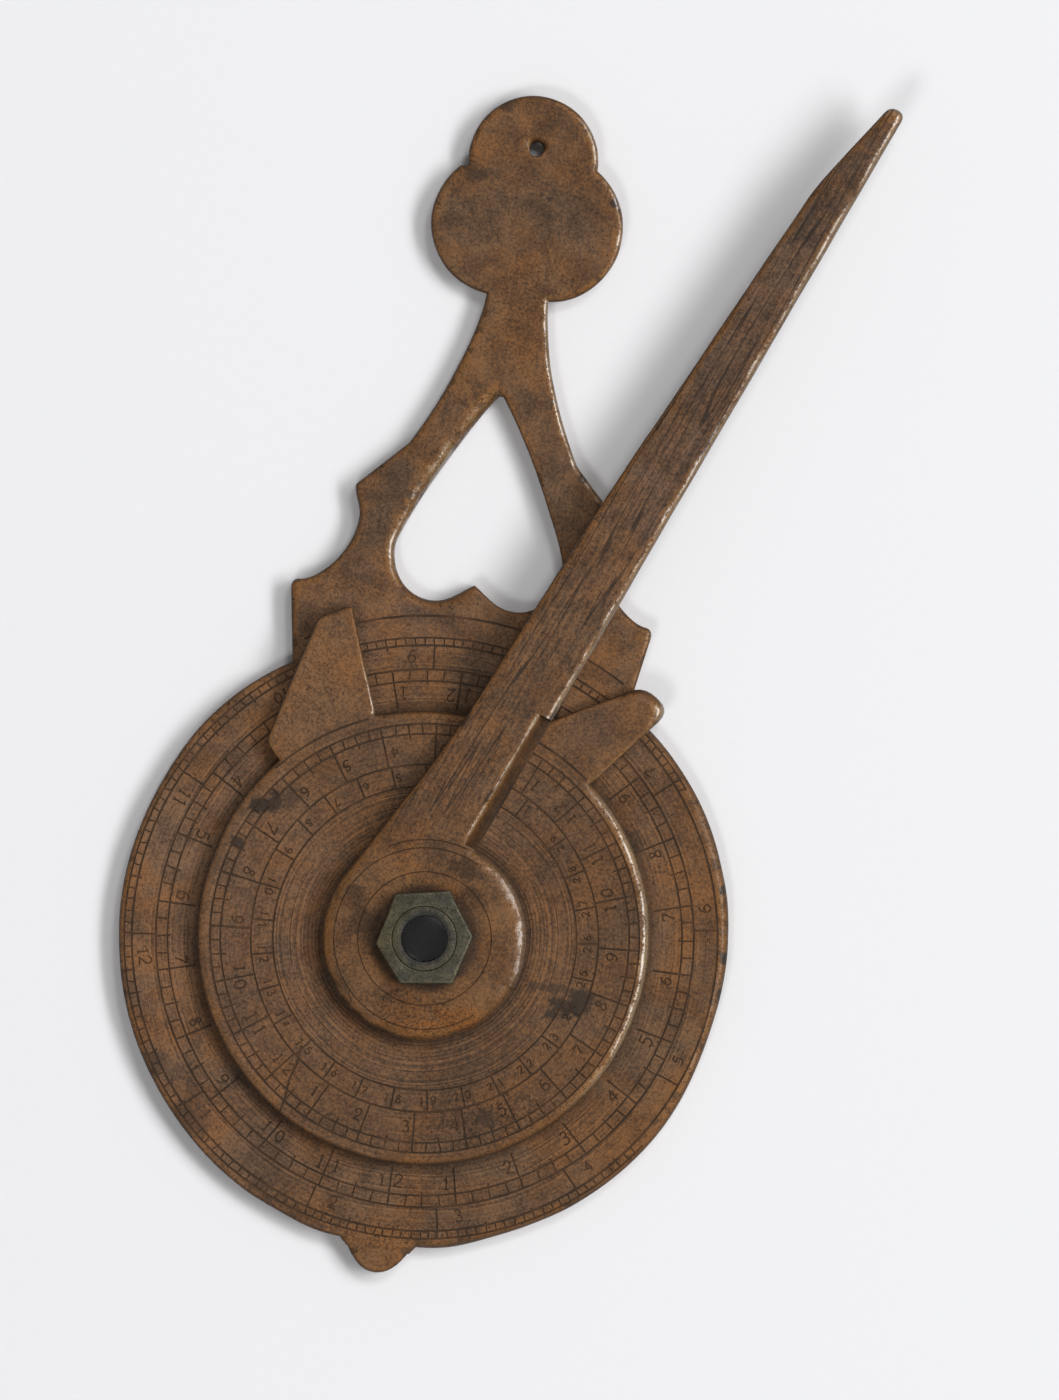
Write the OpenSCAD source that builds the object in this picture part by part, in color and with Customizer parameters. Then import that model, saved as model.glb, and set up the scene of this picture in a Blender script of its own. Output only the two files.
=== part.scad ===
// Nocturnal dial: a wooden star clock lying on its back, handle along +Y, faces up.
// The pivot axis is the Z axis and the back of the dial plate is the plane Z = 0. Millimetres.

/* [Dial plate] */
// Radius of the dial
dial_r = 60; // [52:0.5:80]
// Thickness of the dial plate
plate_t = 5; // [3.5:0.1:9]
// Width across the shoulders above the dial
shoulder_w = 72; // [64:0.5:90]
// Height of the shoulders above the rim of the dial
shoulder_rise = 6.5; // [4:0.1:14]
// Rounding of the shoulder corners
shoulder_round = 2.2; // [0.5:0.1:3.5]
// How far each flank draws in below its shoulder
flank_taper = 3.4; // [0:0.1:6]
// Width at the waist between the shoulders and the ears
waist_w = 48.8; // [42:0.2:60]
// Height of the waist above the shoulders
waist_rise = 13.5; // [8:0.1:20]
// Width across the tips of the ears
ear_w = 51.8; // [46:0.2:64]
// Height of the ear tips above the waist
ear_rise = 6.4; // [3:0.1:12]
// Width of the handle where the ears leave it
ear_root_w = 33.2; // [28:0.2:42]
// Height of that place above the ear tips
ear_root_rise = 9.4; // [5:0.1:14]
// Reach of the nub below the rim of the dial
nub_reach = 6.3; // [3:0.1:12]
// Width of the nub at the rim
nub_w = 15; // [10:0.2:24]

/* [Handle] */
// Width of the neck under the trefoil
neck_w = 11.7; // [8:0.1:18]
// Height of the neck above the place where the ears leave the handle
neck_rise = 31.2; // [22:0.2:45]
// Radius of the two side lobes of the trefoil
lobe_r = 13.6; // [11:0.1:18]
// Distance between the centres of the side lobes
lobe_spread = 10.8; // [6:0.1:16]
// Height of the side lobes' centres above the neck
lobe_rise = 14.3; // [11:0.1:18]
// Radius of the crown lobe
crown_r = 12.6; // [9:0.1:16]
// Height of the crown's centre above the side lobes' centres
crown_rise = 13.5; // [9:0.1:18]
// Diameter of the hanging hole
hang_hole_d = 2.8; // [1.5:0.1:6]
// Height of the hanging hole above the crown's centre
hang_hole_rise = 1.6; // [-3:0.1:4]

/* [Heart cut-out] */
// Width of the heart
heart_w = 33; // [24:0.2:38]
// Height of the heart, from the bottom of its lobes to its point
heart_h = 42; // [30:0.5:52]
// Height of the heart's widest place above the bottom of its lobes
heart_belly = 9.7; // [6:0.1:14]
// Height of the cusp between the two lobes
heart_cusp = 4.2; // [1:0.1:8]
// Wood between the rim of the dial and the heart
heart_sill = 5.8; // [3:0.1:12]

/* [Hour disc] */
// Radius of the hour disc
hour_r = 44.5; // [34:0.1:50]
// Thickness of the hour disc and its pointers
hour_t = 4; // [2.5:0.1:7]
// Rounding of the disc's worn upper edge
hour_edge = 0.8; // [0.2:0.1:1.5]
// Reach of the long pointer past the disc
long_pointer_reach = 22.3; // [12:0.1:32]
// Width of the long pointer's blunt tip
long_pointer_tip = 6.9; // [3:0.1:12]
// Width of the long pointer at its back corner
long_pointer_back = 22.2; // [16:0.1:28]
// Fall of the long pointer's tip away from its straight edge
long_pointer_fall = 0.9; // [0:0.1:4]
// Rounding of the long pointer's tip
long_pointer_round = 0.8; // [0.2:0.1:3]
// How far the long pointer's back corner lies short of the disc's radius
long_pointer_heel = 0.2; // [0:0.1:6]
// Direction of the long pointer's straight edge, clockwise from the handle
long_pointer_angle = -20.4; // [-60:0.1:0]
// Reach of the short pointer past the disc
short_pointer_reach = 21.2; // [12:0.1:32]
// Width of the short pointer's tip
short_pointer_tip = 7.2; // [4:0.1:12]
// Width of the short pointer at its back corner
short_pointer_back = 16.6; // [12:0.1:26]
// Fall of the short pointer's tip away from its straight edge
short_pointer_fall = 0.4; // [0:0.1:4]
// Rounding of the short pointer's tip
short_pointer_round = 3.2; // [0.2:0.1:4]
// How far the short pointer's back corner lies short of the disc's radius
short_pointer_heel = 2.7; // [0:0.1:6]
// Direction of the short pointer's straight edge, clockwise from the handle
short_pointer_angle = 39.2; // [25:0.1:80]

/* [Index arm] */
// Radius of the arm's hub
hub_r = 20; // [16:0.1:28]
// Thickness of the arm and its hub
arm_t = 5.2; // [3.5:0.1:8]
// Rounding of the hub's worn upper edge
hub_edge = 1.2; // [0.3:0.1:2]
// Distance from the pivot to the tip
arm_reach = 187; // [160:1:240]
// Width of the blunt end of the tip
tip_w = 3.4; // [2:0.1:6]
// Length of the narrowing tip
tip_l = 21; // [10:0.5:40]
// Width of the blade where the tip begins
tip_root_w = 8.1; // [6:0.1:11]
// Width of the blade at its belly
belly_w = 12.9; // [9:0.1:16]
// Distance from the pivot to the belly
belly_y = 93; // [74:1:120]
// Width of the blade at its root beside the hub
root_w = 15.1; // [11:0.1:19]
// Distance from the pivot to the root
root_y = 36.4; // [31:0.1:44]
// Length of the easy bends in the blade's back
blade_bend = 12; // [4:0.5:14]
// How far the cove draws the upper edge back from the reading edge
cove_set = 2.45; // [1:0.05:4]
// Thickness left at the reading edge under the cove
cove_edge = 0.6; // [0.3:0.1:1.2]
// Radius of the hollow of the cove
cove_r = 5.8; // [5:0.1:9]
// How far the cove runs past the hour disc
cove_past = 4.9; // [2:0.1:12]
// Direction of the reading edge, clockwise from the handle
arm_angle = 22.2; // [0:0.1:90]

/* [Pivot] */
// Outer diameter of the pivot tube
tube_d = 12.7; // [11.5:0.1:15]
// Diameter of the sight hole through the tube
sight_d = 9; // [5:0.1:10.5]
// How far the tube's back flange stands out all round
flange_out = 4.6; // [2:0.1:8]
// Thickness of the back flange
flange_t = 1.4; // [0.8:0.1:2.2]
// Depth of the tube's end below the top of the nut
tube_sink = 0.2; // [0:0.05:1]
// Width of the nut across its flats
nut_af = 18.7; // [17:0.1:26]
// Height of the nut
nut_h = 3.5; // [2:0.1:6]
// Chamfer on the nut's corners
nut_chamfer = 0.5; // [0.2:0.1:1]
// Turn of the nut from the X axis
nut_turn = 10.7; // [0:0.1:60]

/* [Clearances] */
// Gap between each layer and the next
play = 0.05; // [0.02:0.01:0.2]
// Radial clearance of the turning pieces on the tube
running_clear = 0.06; // [0.02:0.01:0.1]
// Radial clearance of the tube in the dial plate
seat_clear = 0.02; // [0.01:0.01:0.05]

/* [Hidden] */
$fn = 96;

// Steps along each curve and round each rounded corner
curve_steps = 10;
corner_steps = 5;
// Depth to which the handle and the nub run into the dial
bond = 5;
// Rounding of the pointers' back corners
heel_round = 1.5;
// Overrun that lets a cut break cleanly through a face
cut = 1;

// Heights along the handle
shoulder_y = dial_r + shoulder_rise;
waist_y = shoulder_y + waist_rise;
ear_y = waist_y + ear_rise;
ear_root_y = ear_y + ear_root_rise;
neck_y = ear_root_y + neck_rise;
lobe_y = neck_y + lobe_rise;
crown_y = lobe_y + crown_rise;
hang_hole_y = crown_y + hang_hole_rise;
heart_y = dial_r + heart_sill;

// Levels of the stack on the pivot
hour_z = plate_t + play;
arm_z = hour_z + hour_t + play;
nut_z = arm_z + arm_t + play;
stack_top = nut_z + nut_h;
tube_top = stack_top - tube_sink;

// Points along a cubic curve with end points p[0] and p[3] and handles p[1] and p[2]
function curve(p) = [
    for (i = [0 : curve_steps])
        let (t = i / curve_steps, s = 1 - t)
            s * s * s * p[0] + 3 * s * s * t * p[1] + 3 * s * t * t * p[2] + t * t * t * p[3]
];

// The same points mirrored in the Y axis, in the opposite order
function mirrored(points) = [for (i = [len(points) - 1 : -1 : 0]) [-points[i].x, points[i].y]];

function unit(v) = v / norm(v);

// Points round the corner b between a and c, which starts and ends at distance d from b
function corner(a, b, c, d) =
    let (p = b + d * unit(a - b), q = b + d * unit(c - b)) [
        for (i = [0 : corner_steps])
            let (t = i / corner_steps, s = 1 - t)
                s * s * p + 2 * s * t * b + t * t * q
    ];

// An outline of [x, y, d] corners, each rounded from distance d on either side, or sharp where d is 0
function rounded(v) = [
    for (i = [0 : len(v) - 1])
        let (
            n = len(v),
            a = v[(i + n - 1) % n],
            b = v[i],
            c = v[(i + 1) % n]
        )
            each b[2] == 0
                ? [[b.x, b.y]]
                : corner([a.x, a.y], [b.x, b.y], [c.x, c.y], b[2])
];

// Right side of the shouldered handle, from inside the dial up to the middle of the trefoil.
// The curves' handles are shares of the spans they bridge.
function handle_side() =
    let (
        foot_x = shoulder_w / 2 - flank_taper,
        foot_y = sqrt(dial_r * dial_r - foot_x * foot_x) - bond,
        shoulder = [shoulder_w / 2 - shoulder_round, shoulder_y],
        waist = [waist_w / 2, waist_y],
        ear = [ear_w / 2, ear_y],
        ear_root = [ear_root_w / 2, ear_root_y],
        neck = [neck_w / 2, neck_y],
        sweep = shoulder - waist,
        flare = ear_root - neck
    ) concat(
        [[foot_x, foot_y]],
        corner([foot_x, foot_y], [shoulder_w / 2, shoulder_y], shoulder, shoulder_round),
        curve([shoulder, shoulder - [0.33 * sweep.x, 0.05 * sweep.y], waist + [0, 0.55 * sweep.y], waist]),
        curve([waist, waist + [0, 0.4 * ear_rise], ear - [0, 0.4 * ear_rise], ear]),
        curve([ear_root, ear_root - [0.43 * flare.x, 0.26 * flare.y], neck + [0, 0.24 * flare.y], neck]),
        [[neck_w / 2, lobe_y]]
    );

// Right side of the heart, from its cusp round the lobe to its point
function heart_side() =
    let (
        half = heart_w / 2,
        cusp = [0, heart_y + heart_cusp],
        bottom = [half / 2, heart_y],
        belly = [half, heart_y + heart_belly],
        point = [0, heart_y + heart_h]
    ) concat(
        curve([cusp, [0.16 * half, heart_y + 0.6 * heart_cusp], [0.28 * half, heart_y], bottom]),
        curve([bottom, [0.77 * half, heart_y], belly - [0, 0.6 * heart_belly], belly]),
        curve([belly, belly + [0, 0.12 * (heart_h - heart_belly)],
               point + [0.32 * half, -0.2 * (heart_h - heart_belly)], point])
    );

// Right side of the nub, from inside the dial to its tip
function nub_side() =
    let (
        half = nub_w / 2,
        rim_y = sqrt(dial_r * dial_r - half * half),
        tip_y = dial_r + nub_reach
    ) concat(
        [[half, bond - rim_y]],
        curve([[half, -rim_y], [0.8 * half, -rim_y - 0.25 * nub_reach], [0.58 * half, -tip_y], [0, -tip_y]])
    );

// Dial plate in one piece with its shoulders, forked handle, trefoil and nub
module body_plate() {
    bore_r = tube_d / 2 + seat_clear;
    recess_r = tube_d / 2 + flange_out + seat_clear;
    color("sienna")
    difference() {
        union() {
            cylinder(r = dial_r, h = plate_t);
            linear_extrude(plate_t) polygon(concat(handle_side(), mirrored(handle_side())));
            linear_extrude(plate_t) polygon(concat(nub_side(), mirrored(nub_side())));
            for (side = [-1, 1])
                translate([side * lobe_spread / 2, lobe_y, 0]) cylinder(r = lobe_r, h = plate_t);
            translate([0, crown_y, 0]) cylinder(r = crown_r, h = plate_t);
        }
        translate([0, 0, -cut]) {
            linear_extrude(plate_t + 2 * cut) polygon(concat(heart_side(), mirrored(heart_side())));
            cylinder(r = bore_r, h = plate_t + 2 * cut);
            cylinder(r = recess_r, h = flange_t + cut);
            translate([0, hang_hole_y, 0]) cylinder(d = hang_hole_d, h = plate_t + 2 * cut, $fn = 32);
        }
    }
}

// Half section of a turned disc with a worn, rounded upper edge
module worn_section(r, t, edge) {
    square([r - edge, t]);
    square([r, t - edge]);
    translate([r - edge, t - edge]) circle(edge, $fn = 32);
}

// Pointer with a straight radial edge on its clockwise side, turned to its angle
module pointer(angle, reach, tip, fall, tip_round, back, heel) {
    foot = [-0.75 * back, 0.7 * hour_r];
    soft = min(tip_round, 0.45 * tip);
    rotate(-angle) linear_extrude(hour_t) polygon(rounded([
        [0, foot.y, 0],
        [0, hour_r + reach, soft],
        [-tip, hour_r + reach - fall, soft],
        [-back, hour_r - heel, heel_round],
        [foot.x, foot.y, 0]
    ]));
}

// Hour disc in one piece with its long and its short pointer
module hour_disc() {
    color("chocolate")
    translate([0, 0, hour_z])
    difference() {
        union() {
            rotate_extrude() worn_section(hour_r, hour_t, hour_edge);
            pointer(long_pointer_angle, long_pointer_reach, long_pointer_tip, long_pointer_fall,
                    long_pointer_round, long_pointer_back, long_pointer_heel);
            pointer(short_pointer_angle, short_pointer_reach, short_pointer_tip, short_pointer_fall,
                    short_pointer_round, short_pointer_back, short_pointer_heel);
        }
        translate([0, 0, -cut]) cylinder(r = tube_d / 2 + running_clear, h = hour_t + 2 * cut);
    }
}

// Outline of the blade, with the reading edge along +Y from the pivot
module blade_outline() {
    hub_side = hub_r - hub_edge;
    polygon(rounded([
        [0, 0, 0],
        [0, arm_reach, tip_w / 2],
        [-tip_w, arm_reach, tip_w / 2],
        [-tip_root_w, arm_reach - tip_l, tip_l / 5],
        [-belly_w, belly_y, blade_bend],
        [-root_w, root_y, blade_bend],
        [-hub_side, 0, 0]
    ]));
}

// Hollow cut along the reading edge, from the hub to just past the hour disc
module cove() {
    fall = arm_t - cove_edge;
    chord = norm([cove_set, fall]);
    lift = sqrt(cove_r * cove_r - chord * chord / 4);
    axis = [lift * fall - chord * cove_set / 2, lift * cove_set + chord * (cove_edge + arm_t) / 2] / chord;
    translate([axis.x, 0, axis.y])
    rotate([-90, 0, 0])
    cylinder(r = cove_r, h = hour_r + cove_past);
}

// Index arm in one piece with its hub
module index_arm() {
    color("peru")
    translate([0, 0, arm_z])
    rotate(-arm_angle)
    difference() {
        union() {
            difference() {
                linear_extrude(arm_t) blade_outline();
                cove();
            }
            rotate_extrude() worn_section(hub_r, arm_t, hub_edge);
        }
        translate([0, 0, -cut]) cylinder(r = tube_d / 2 + running_clear, h = arm_t + 2 * cut);
    }
}

// Hollow pivot with its flange let in flush with the back of the plate
module pivot_tube() {
    color("darkkhaki")
    difference() {
        union() {
            cylinder(r = tube_d / 2 + flange_out, h = flange_t);
            cylinder(d = tube_d, h = tube_top);
        }
        translate([0, 0, -cut]) cylinder(d = sight_d, h = tube_top + 2 * cut);
    }
}

// Six-sided nut that holds the stack on the pivot
module hex_nut() {
    corner_r = nut_af / 2 / cos(30);
    worn_r = corner_r - nut_chamfer;
    color("darkolivegreen")
    translate([0, 0, nut_z])
    difference() {
        intersection() {
            rotate(nut_turn) cylinder(r = corner_r, h = nut_h, $fn = 6);
            rotate_extrude() polygon([
                [0, 0],
                [worn_r, 0],
                [worn_r, nut_h - nut_chamfer],
                [worn_r - 2 * nut_chamfer, nut_h],
                [0, nut_h]
            ]);
        }
        translate([0, 0, -cut]) cylinder(r = tube_d / 2 + running_clear, h = nut_h + 2 * cut);
    }
}

body_plate();
hour_disc();
index_arm();
pivot_tube();
hex_nut();
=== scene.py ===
"""A wooden nocturnal lying on its back: engraved boxwood layers on a dark brass pivot, seen from above.

Shapes are worked out in millimetres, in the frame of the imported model, with angles in degrees clockwise
from the handle. The plans of the wooden pieces are triangulated together with their engraved scales.
"""
import math

import bpy
import numpy as np
from mathutils import Matrix, Vector
from mathutils.geometry import delaunay_2d_cdt
from mathutils.noise import noise


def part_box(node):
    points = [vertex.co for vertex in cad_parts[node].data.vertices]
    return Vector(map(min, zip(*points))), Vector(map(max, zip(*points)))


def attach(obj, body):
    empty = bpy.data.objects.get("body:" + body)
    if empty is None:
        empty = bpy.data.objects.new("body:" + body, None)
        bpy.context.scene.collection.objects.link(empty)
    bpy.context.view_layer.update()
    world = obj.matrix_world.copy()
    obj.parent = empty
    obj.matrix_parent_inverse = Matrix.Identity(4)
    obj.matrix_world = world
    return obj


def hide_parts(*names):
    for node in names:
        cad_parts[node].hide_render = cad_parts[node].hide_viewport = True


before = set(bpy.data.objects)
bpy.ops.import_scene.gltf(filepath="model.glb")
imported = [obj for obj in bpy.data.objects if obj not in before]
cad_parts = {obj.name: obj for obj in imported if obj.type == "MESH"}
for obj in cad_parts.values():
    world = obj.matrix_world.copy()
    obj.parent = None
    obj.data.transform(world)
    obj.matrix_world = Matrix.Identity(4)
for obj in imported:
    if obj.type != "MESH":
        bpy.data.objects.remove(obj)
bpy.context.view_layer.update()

MM = 0.001
rng = np.random.default_rng(1650)

# The photograph's frame, in its own pixels
FRAME_W_PX, FRAME_H_PX = 1059, 1400
PIVOT_PX = (424.5, 938.2)
DIAL_R_PX = 305.7
HANDLE_TURN = 8.1

# Dial plate
DIAL_R = 60.0
SHOULDER_W = 72.0
SHOULDER_Y = 66.5
SHOULDER_ROUND = 2.2
FLANK_TAPER = 3.4
WAIST = np.array([24.4, 80.0])
EAR = np.array([25.9, 86.4])
EAR_ROOT = np.array([16.6, 95.8])
NECK = np.array([5.85, 127.0])
NUB_W = 15.0
NUB_REACH = 6.3
NUB_SHIFT = 0.6
BOND = 5.0

# Trefoil at the end of the handle, with the level up to which the handle runs into it
HANDLE_TOP = 141.3
LOBES = ((-4.7, 141.0, 13.95), (4.6, 141.6, 14.5))
CROWN = (-0.3, 154.1, 12.75)
NOTCH = (-13.6, 151.95, 0.85)
HANG_HOLE_R = 1.4
HANG_HOLE_Y = 156.4

# Heart cut-out
HEART_HALF = 16.5
HEART_Y = 65.8
HEART_H = 42.0
HEART_BELLY = 9.7
HEART_CUSP = 4.2

# Hour disc, with each pointer's angle, reach, tip, fall, tip rounding, back and heel
HOUR_R = 44.5
LONG_POINTER = (-20.4, 22.3, 6.9, 0.9, 0.8, 22.2, 0.2)
SHORT_POINTER = (39.2, 21.2, 7.2, 0.4, 3.2, 16.6, 2.7)
HEEL_ROUND = 1.5

# Index arm, with its reading edge along the Y axis before it is turned to its angle
HUB_R = 20.0
ARM_ANGLE = 22.2
ARM_REACH = 187.0
TIP_W, TIP_L, TIP_ROOT_W = 3.4, 21.0, 8.1
BELLY_W, BELLY_Y = 12.9, 93.0
ROOT_W, ROOT_Y = 15.1, 36.4
BLADE_BEND = 12.0
COVE_SET, COVE_EDGE, COVE_R, COVE_END = 2.45, 0.6, 5.8, 49.4
COVE_LIP = 1.3

# Pivot, with the nut's hand-filed corners as angle from the X axis and reach
TUBE_R, SIGHT_R = 6.35, 4.5
FLANGE_R, FLANGE_T = 10.95, 1.4
NUT_CORNERS = ((10.6, 9.65), (70.1, 10.7), (130.8, 10.5), (193.7, 9.65), (249.4, 10.05), (310.3, 10.5))
NUT_ROUND = 0.5
NUT_CHAMFER_R, NUT_CHAMFER_SLOPE = 9.3, 0.5
TUBE_SOFT, SOFT_SHARE = 0.2, 0.3
SEAT_CLEAR, RUNNING_CLEAR = 0.02, 0.06

# Camera's focal length and sensor, in millimetres
LENS, SENSOR = 800.0, 36.0

# Lamps: their distance in metres, each one's angle from overhead and clockwise from the picture's top,
# and its two sides in metres with its power in watts
LAMP_DISTANCE = 5.0
KEY_SLANT, KEY_TURN = 41.0, 86.0
SOFT_KEY, GLOSS_KEY = (1.9, 2.8, 92), (0.75, 4.8, 86)
FILL_SLANT, FILL_TURNS = 31.0, {"upper_fill": 30.0, "lower_fill": 210.0}
FILL = (1.2, 1.2, 45)

# Even light from all round
AMBIENT = 0.2

# Paper floor: its size and its depth below the plate in metres, and the colours of its fibres
FLOOR_SIZE, FLOOR_DEPTH = 8, 0.00005
PAPER_DARK, PAPER_LIGHT = (0.872, 0.874, 0.890), (0.892, 0.894, 0.910)

# Engraving: widths of lines, width and grime of a line's lips, its depth, and how far the depth strays
LINE_W, TICK_W, DAY_W, PEN_W = 0.46, 0.40, 0.33, 0.35
HUB_LINE_W = 0.27
LIP, INKED_LIP = 0.085, 0.28
ENGRAVE_DEPTH, DEPTH_STRAY, DEPTH_SIZE = 0.17, 0.3, 4.0

# Slips of the graver, in degrees and in millimetres, and the spread of the figures' sizes and leans
SLIP_TURN, SLIP = 0.12, 0.05
FIGURE_SIZES, FIGURE_LEANS = (0.9, 1.12), (-0.1, 0.16)
FIGURE_BREADTH, FIGURE_SINK = 1.15, 0.06

# Quarters in twice twelve hours
QUARTERS = 96

# Shares of an edge's width at which it is modelled, from the wall inwards
EDGE_STEPS = (0.04, 0.13, 0.28, 0.5, 0.75, 1.0)
FINE_STEPS = (0.03, 0.09, 0.17, 0.26, 0.36, 0.46, 0.56, 0.67, 0.78, 0.9, 1.0)

# Spacing of points along outlines and over the wood, their stray, and their distance from the edges
OUTLINE_STEP, FINE_OUTLINE = 0.8, 0.4
GRID, GRID_STRAY, GRID_CLEAR = 3.0, 0.3, 2.0

# Share and power of an edge's slope, the power with which it rounds off, and width and rise of lower edges
BEVEL, FLAT_BEVEL, ROUND_OFF = (0.5, 2.0), (0.7, 1.3), 6
FOOT, THIN_FOOT = (0.5, 0.4), (0.3, 0.25)

# Edge widths at which wear ends, the rub of the underside, and the run of a wall that is nearly upright
FLAT_SHARE = 3.0
UNDER_RUB = 0.2
STEEP = 0.02

# Least spread of a mitred corner, and the number of points whose distances are measured at once
MITRE_LIMIT = 0.35
AT_ONCE = 1500

# Unevenness of hand work: the waver of outlines and edges, grit, nicks and the swell of flat sides
OUTLINE_WAVER, OUTLINE_WAVER_SIZE = 0.12, 9.0
EDGE_WAVER, EDGE_WAVER_SIZE = 0.22, 5.0
GRIT_SIZE, GRIT_FADE = 0.5, 0.2
NICK_SIZE, NICK_RARITY, NICK_REACH = 1.3, 0.38, 0.7
SWELL, SWELL_SIZE, SWELL_FADE = 0.03, 14.0, 3.0

# Angle between faces, in degrees, above which their shared edge shows as sharp
SHARP_ANGLE = 32


def z_span(node):
    """Lowest and highest level of a node, in millimetres."""
    low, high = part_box(node)
    return low.z / MM, high.z / MM


# Plane geometry


def polar(radius, clockwise):
    """Point at a radius and an angle clockwise from the handle. Either may be an array."""
    a = np.radians(clockwise)
    return np.stack(np.broadcast_arrays(radius * np.sin(a), radius * np.cos(a)), -1)


def curve(a, b, c, d, steps=16):
    """Points along a cubic curve from a to d with the handles b and c."""
    t = np.linspace(0, 1, steps + 1)[:, None]
    s = 1 - t
    return s ** 3 * a + 3 * s * s * t * b + 3 * s * t * t * c + t ** 3 * d


def circle(x, y, radius, count):
    return polar(radius, np.arange(count) * -360.0 / count) + np.array([x, y])


def mirrored(points):
    """The same points mirrored in the handle's axis, in the opposite order."""
    return points[::-1] * np.array([-1.0, 1.0])


def turned(points, clockwise):
    a = math.radians(clockwise)
    return points @ np.array([[math.cos(a), -math.sin(a)], [math.sin(a), math.cos(a)]])


def unit(v):
    return v / np.linalg.norm(v, axis=-1, keepdims=True)


def rounded(corners, steps=5):
    """An outline of (x, y, d) corners, each eased from distance d on either side, or sharp where d is 0."""
    places = np.array([c[:2] for c in corners], float)
    outline = []
    for i, (_, _, d) in enumerate(corners):
        here = places[i]
        if d == 0:
            outline.append(here[None])
            continue
        start = here + d * unit(places[i - 1] - here)
        end = here + d * unit(places[(i + 1) % len(places)] - here)
        t = np.linspace(0, 1, steps + 1)[:, None]
        outline.append((1 - t) ** 2 * start + 2 * t * (1 - t) * here + t * t * end)
    return np.concatenate(outline)


def anticlockwise(points):
    x, y = points[:, 0], points[:, 1]
    area = np.dot(x, np.roll(y, -1)) - np.dot(y, np.roll(x, -1))
    return points if area > 0 else points[::-1]


def smooth_step(low, high, value):
    t = np.clip((value - low) / (high - low), 0, 1)
    return t * t * (3 - 2 * t)


def ripple(points, size, seed):
    """Smooth noise between about -1 and 1 over the plane, with features of a size in millimetres."""
    return np.array([noise(Vector((x / size, y / size, seed))) for x, y in points])


# Plans


class Plan:
    """Outlines, lines and points that are triangulated together."""

    def __init__(self):
        self.points, self.edges, self.faces = [], [], []

    def _add(self, points):
        first = len(self.points)
        self.points.extend(points)
        return list(range(first, len(self.points)))

    def outline(self, points):
        self.faces.append(self._add(anticlockwise(points)))
        return len(self.faces) - 1

    def line(self, points, closed=False):
        at = self._add(points)
        self.edges.extend(zip(at, at[1:] + at[:1] if closed else at[1:]))

    def scatter(self, points):
        self._add(points)

    def triangles(self):
        """Corners, triangles, the given points behind each corner and the outlines over each triangle."""
        corners, _, faces, sources, _, over = delaunay_2d_cdt(
            [Vector(p) for p in self.points], self.edges, self.faces, 0, 1e-5, True)
        return np.array([c[:] for c in corners]), faces, sources, [set(o) for o in over]


def rims(faces):
    """Ordered loops of corners round a set of triangles, with the triangles on the left."""
    sides = {(f[i - 1], f[i]) for f in faces for i in range(3)}
    after = {a: b for a, b in sides if (b, a) not in sides}
    loops = []
    while after:
        here = min(after)
        loop = []
        while here in after:
            loop.append(here)
            here = after.pop(here)
        loops.append(loop)
    return loops


def subdivided(loop, step):
    """The loop with its long sides divided into steps."""
    out = []
    for here, there in zip(loop, np.roll(loop, -1, 0)):
        count = max(1, int(np.linalg.norm(there - here) / step + 0.5))
        out.append(here + (there - here) * np.linspace(0, 1, count, endpoint=False)[:, None])
    return np.concatenate(out)


def trace(solids, holes, step=OUTLINE_STEP):
    """Outline loops of overlapping shapes less the holes, wood on the left, largest first."""
    plan = Plan()
    for shape in solids + holes:
        plan.outline(shape)
    places, faces, _, over = plan.triangles()
    kept = [f for f, o in zip(faces, over) if o and max(o) < len(solids)]
    loops = [subdivided(places[loop], step) for loop in rims(kept)]
    return sorted(loops, key=lambda loop: -np.ptp(loop[:, 0]) * np.ptp(loop[:, 1]))


def hand_cut(loop, amount=OUTLINE_WAVER, flats=(), pulls=()):
    """A loop with the slight waver of hand work, and with worn or full stretches.

    Each flat has its angle, its spread in degrees, how far it stands out and the radius up to which it
    counts. Each pull has its place, its reach and how far it moves the outline.
    """
    waver = np.stack([ripple(loop, OUTLINE_WAVER_SIZE, seed) for seed in (3.5, 8.5)], 1)
    cut = loop + amount * waver
    radius = np.hypot(*loop.T)
    angle = np.degrees(np.arctan2(loop[:, 0], loop[:, 1]))
    for centre, spread, out, limit in flats:
        off = (angle - centre + 180) % 360 - 180
        share = out * np.exp(-(off / spread) ** 2) * (radius < limit)
        cut += unit(loop) * share[:, None]
    for x, y, reach, right, up in pulls:
        share = np.exp(-((loop - (x, y)) ** 2).sum(1) / reach ** 2)
        cut += share[:, None] * np.array([right, up])
    return cut


def inset(loop, distance):
    """The loop moved into the wood, with mitred corners."""
    before = unit(loop - np.roll(loop, 1, 0))
    after = np.roll(before, -1, 0)
    turn = np.stack([-before[:, 1] - after[:, 1], before[:, 0] + after[:, 0]], 1)
    spread = np.maximum(1 + (before * after).sum(1), MITRE_LIMIT)
    return loop + turn / spread[:, None] * distance[:, None]


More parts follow.
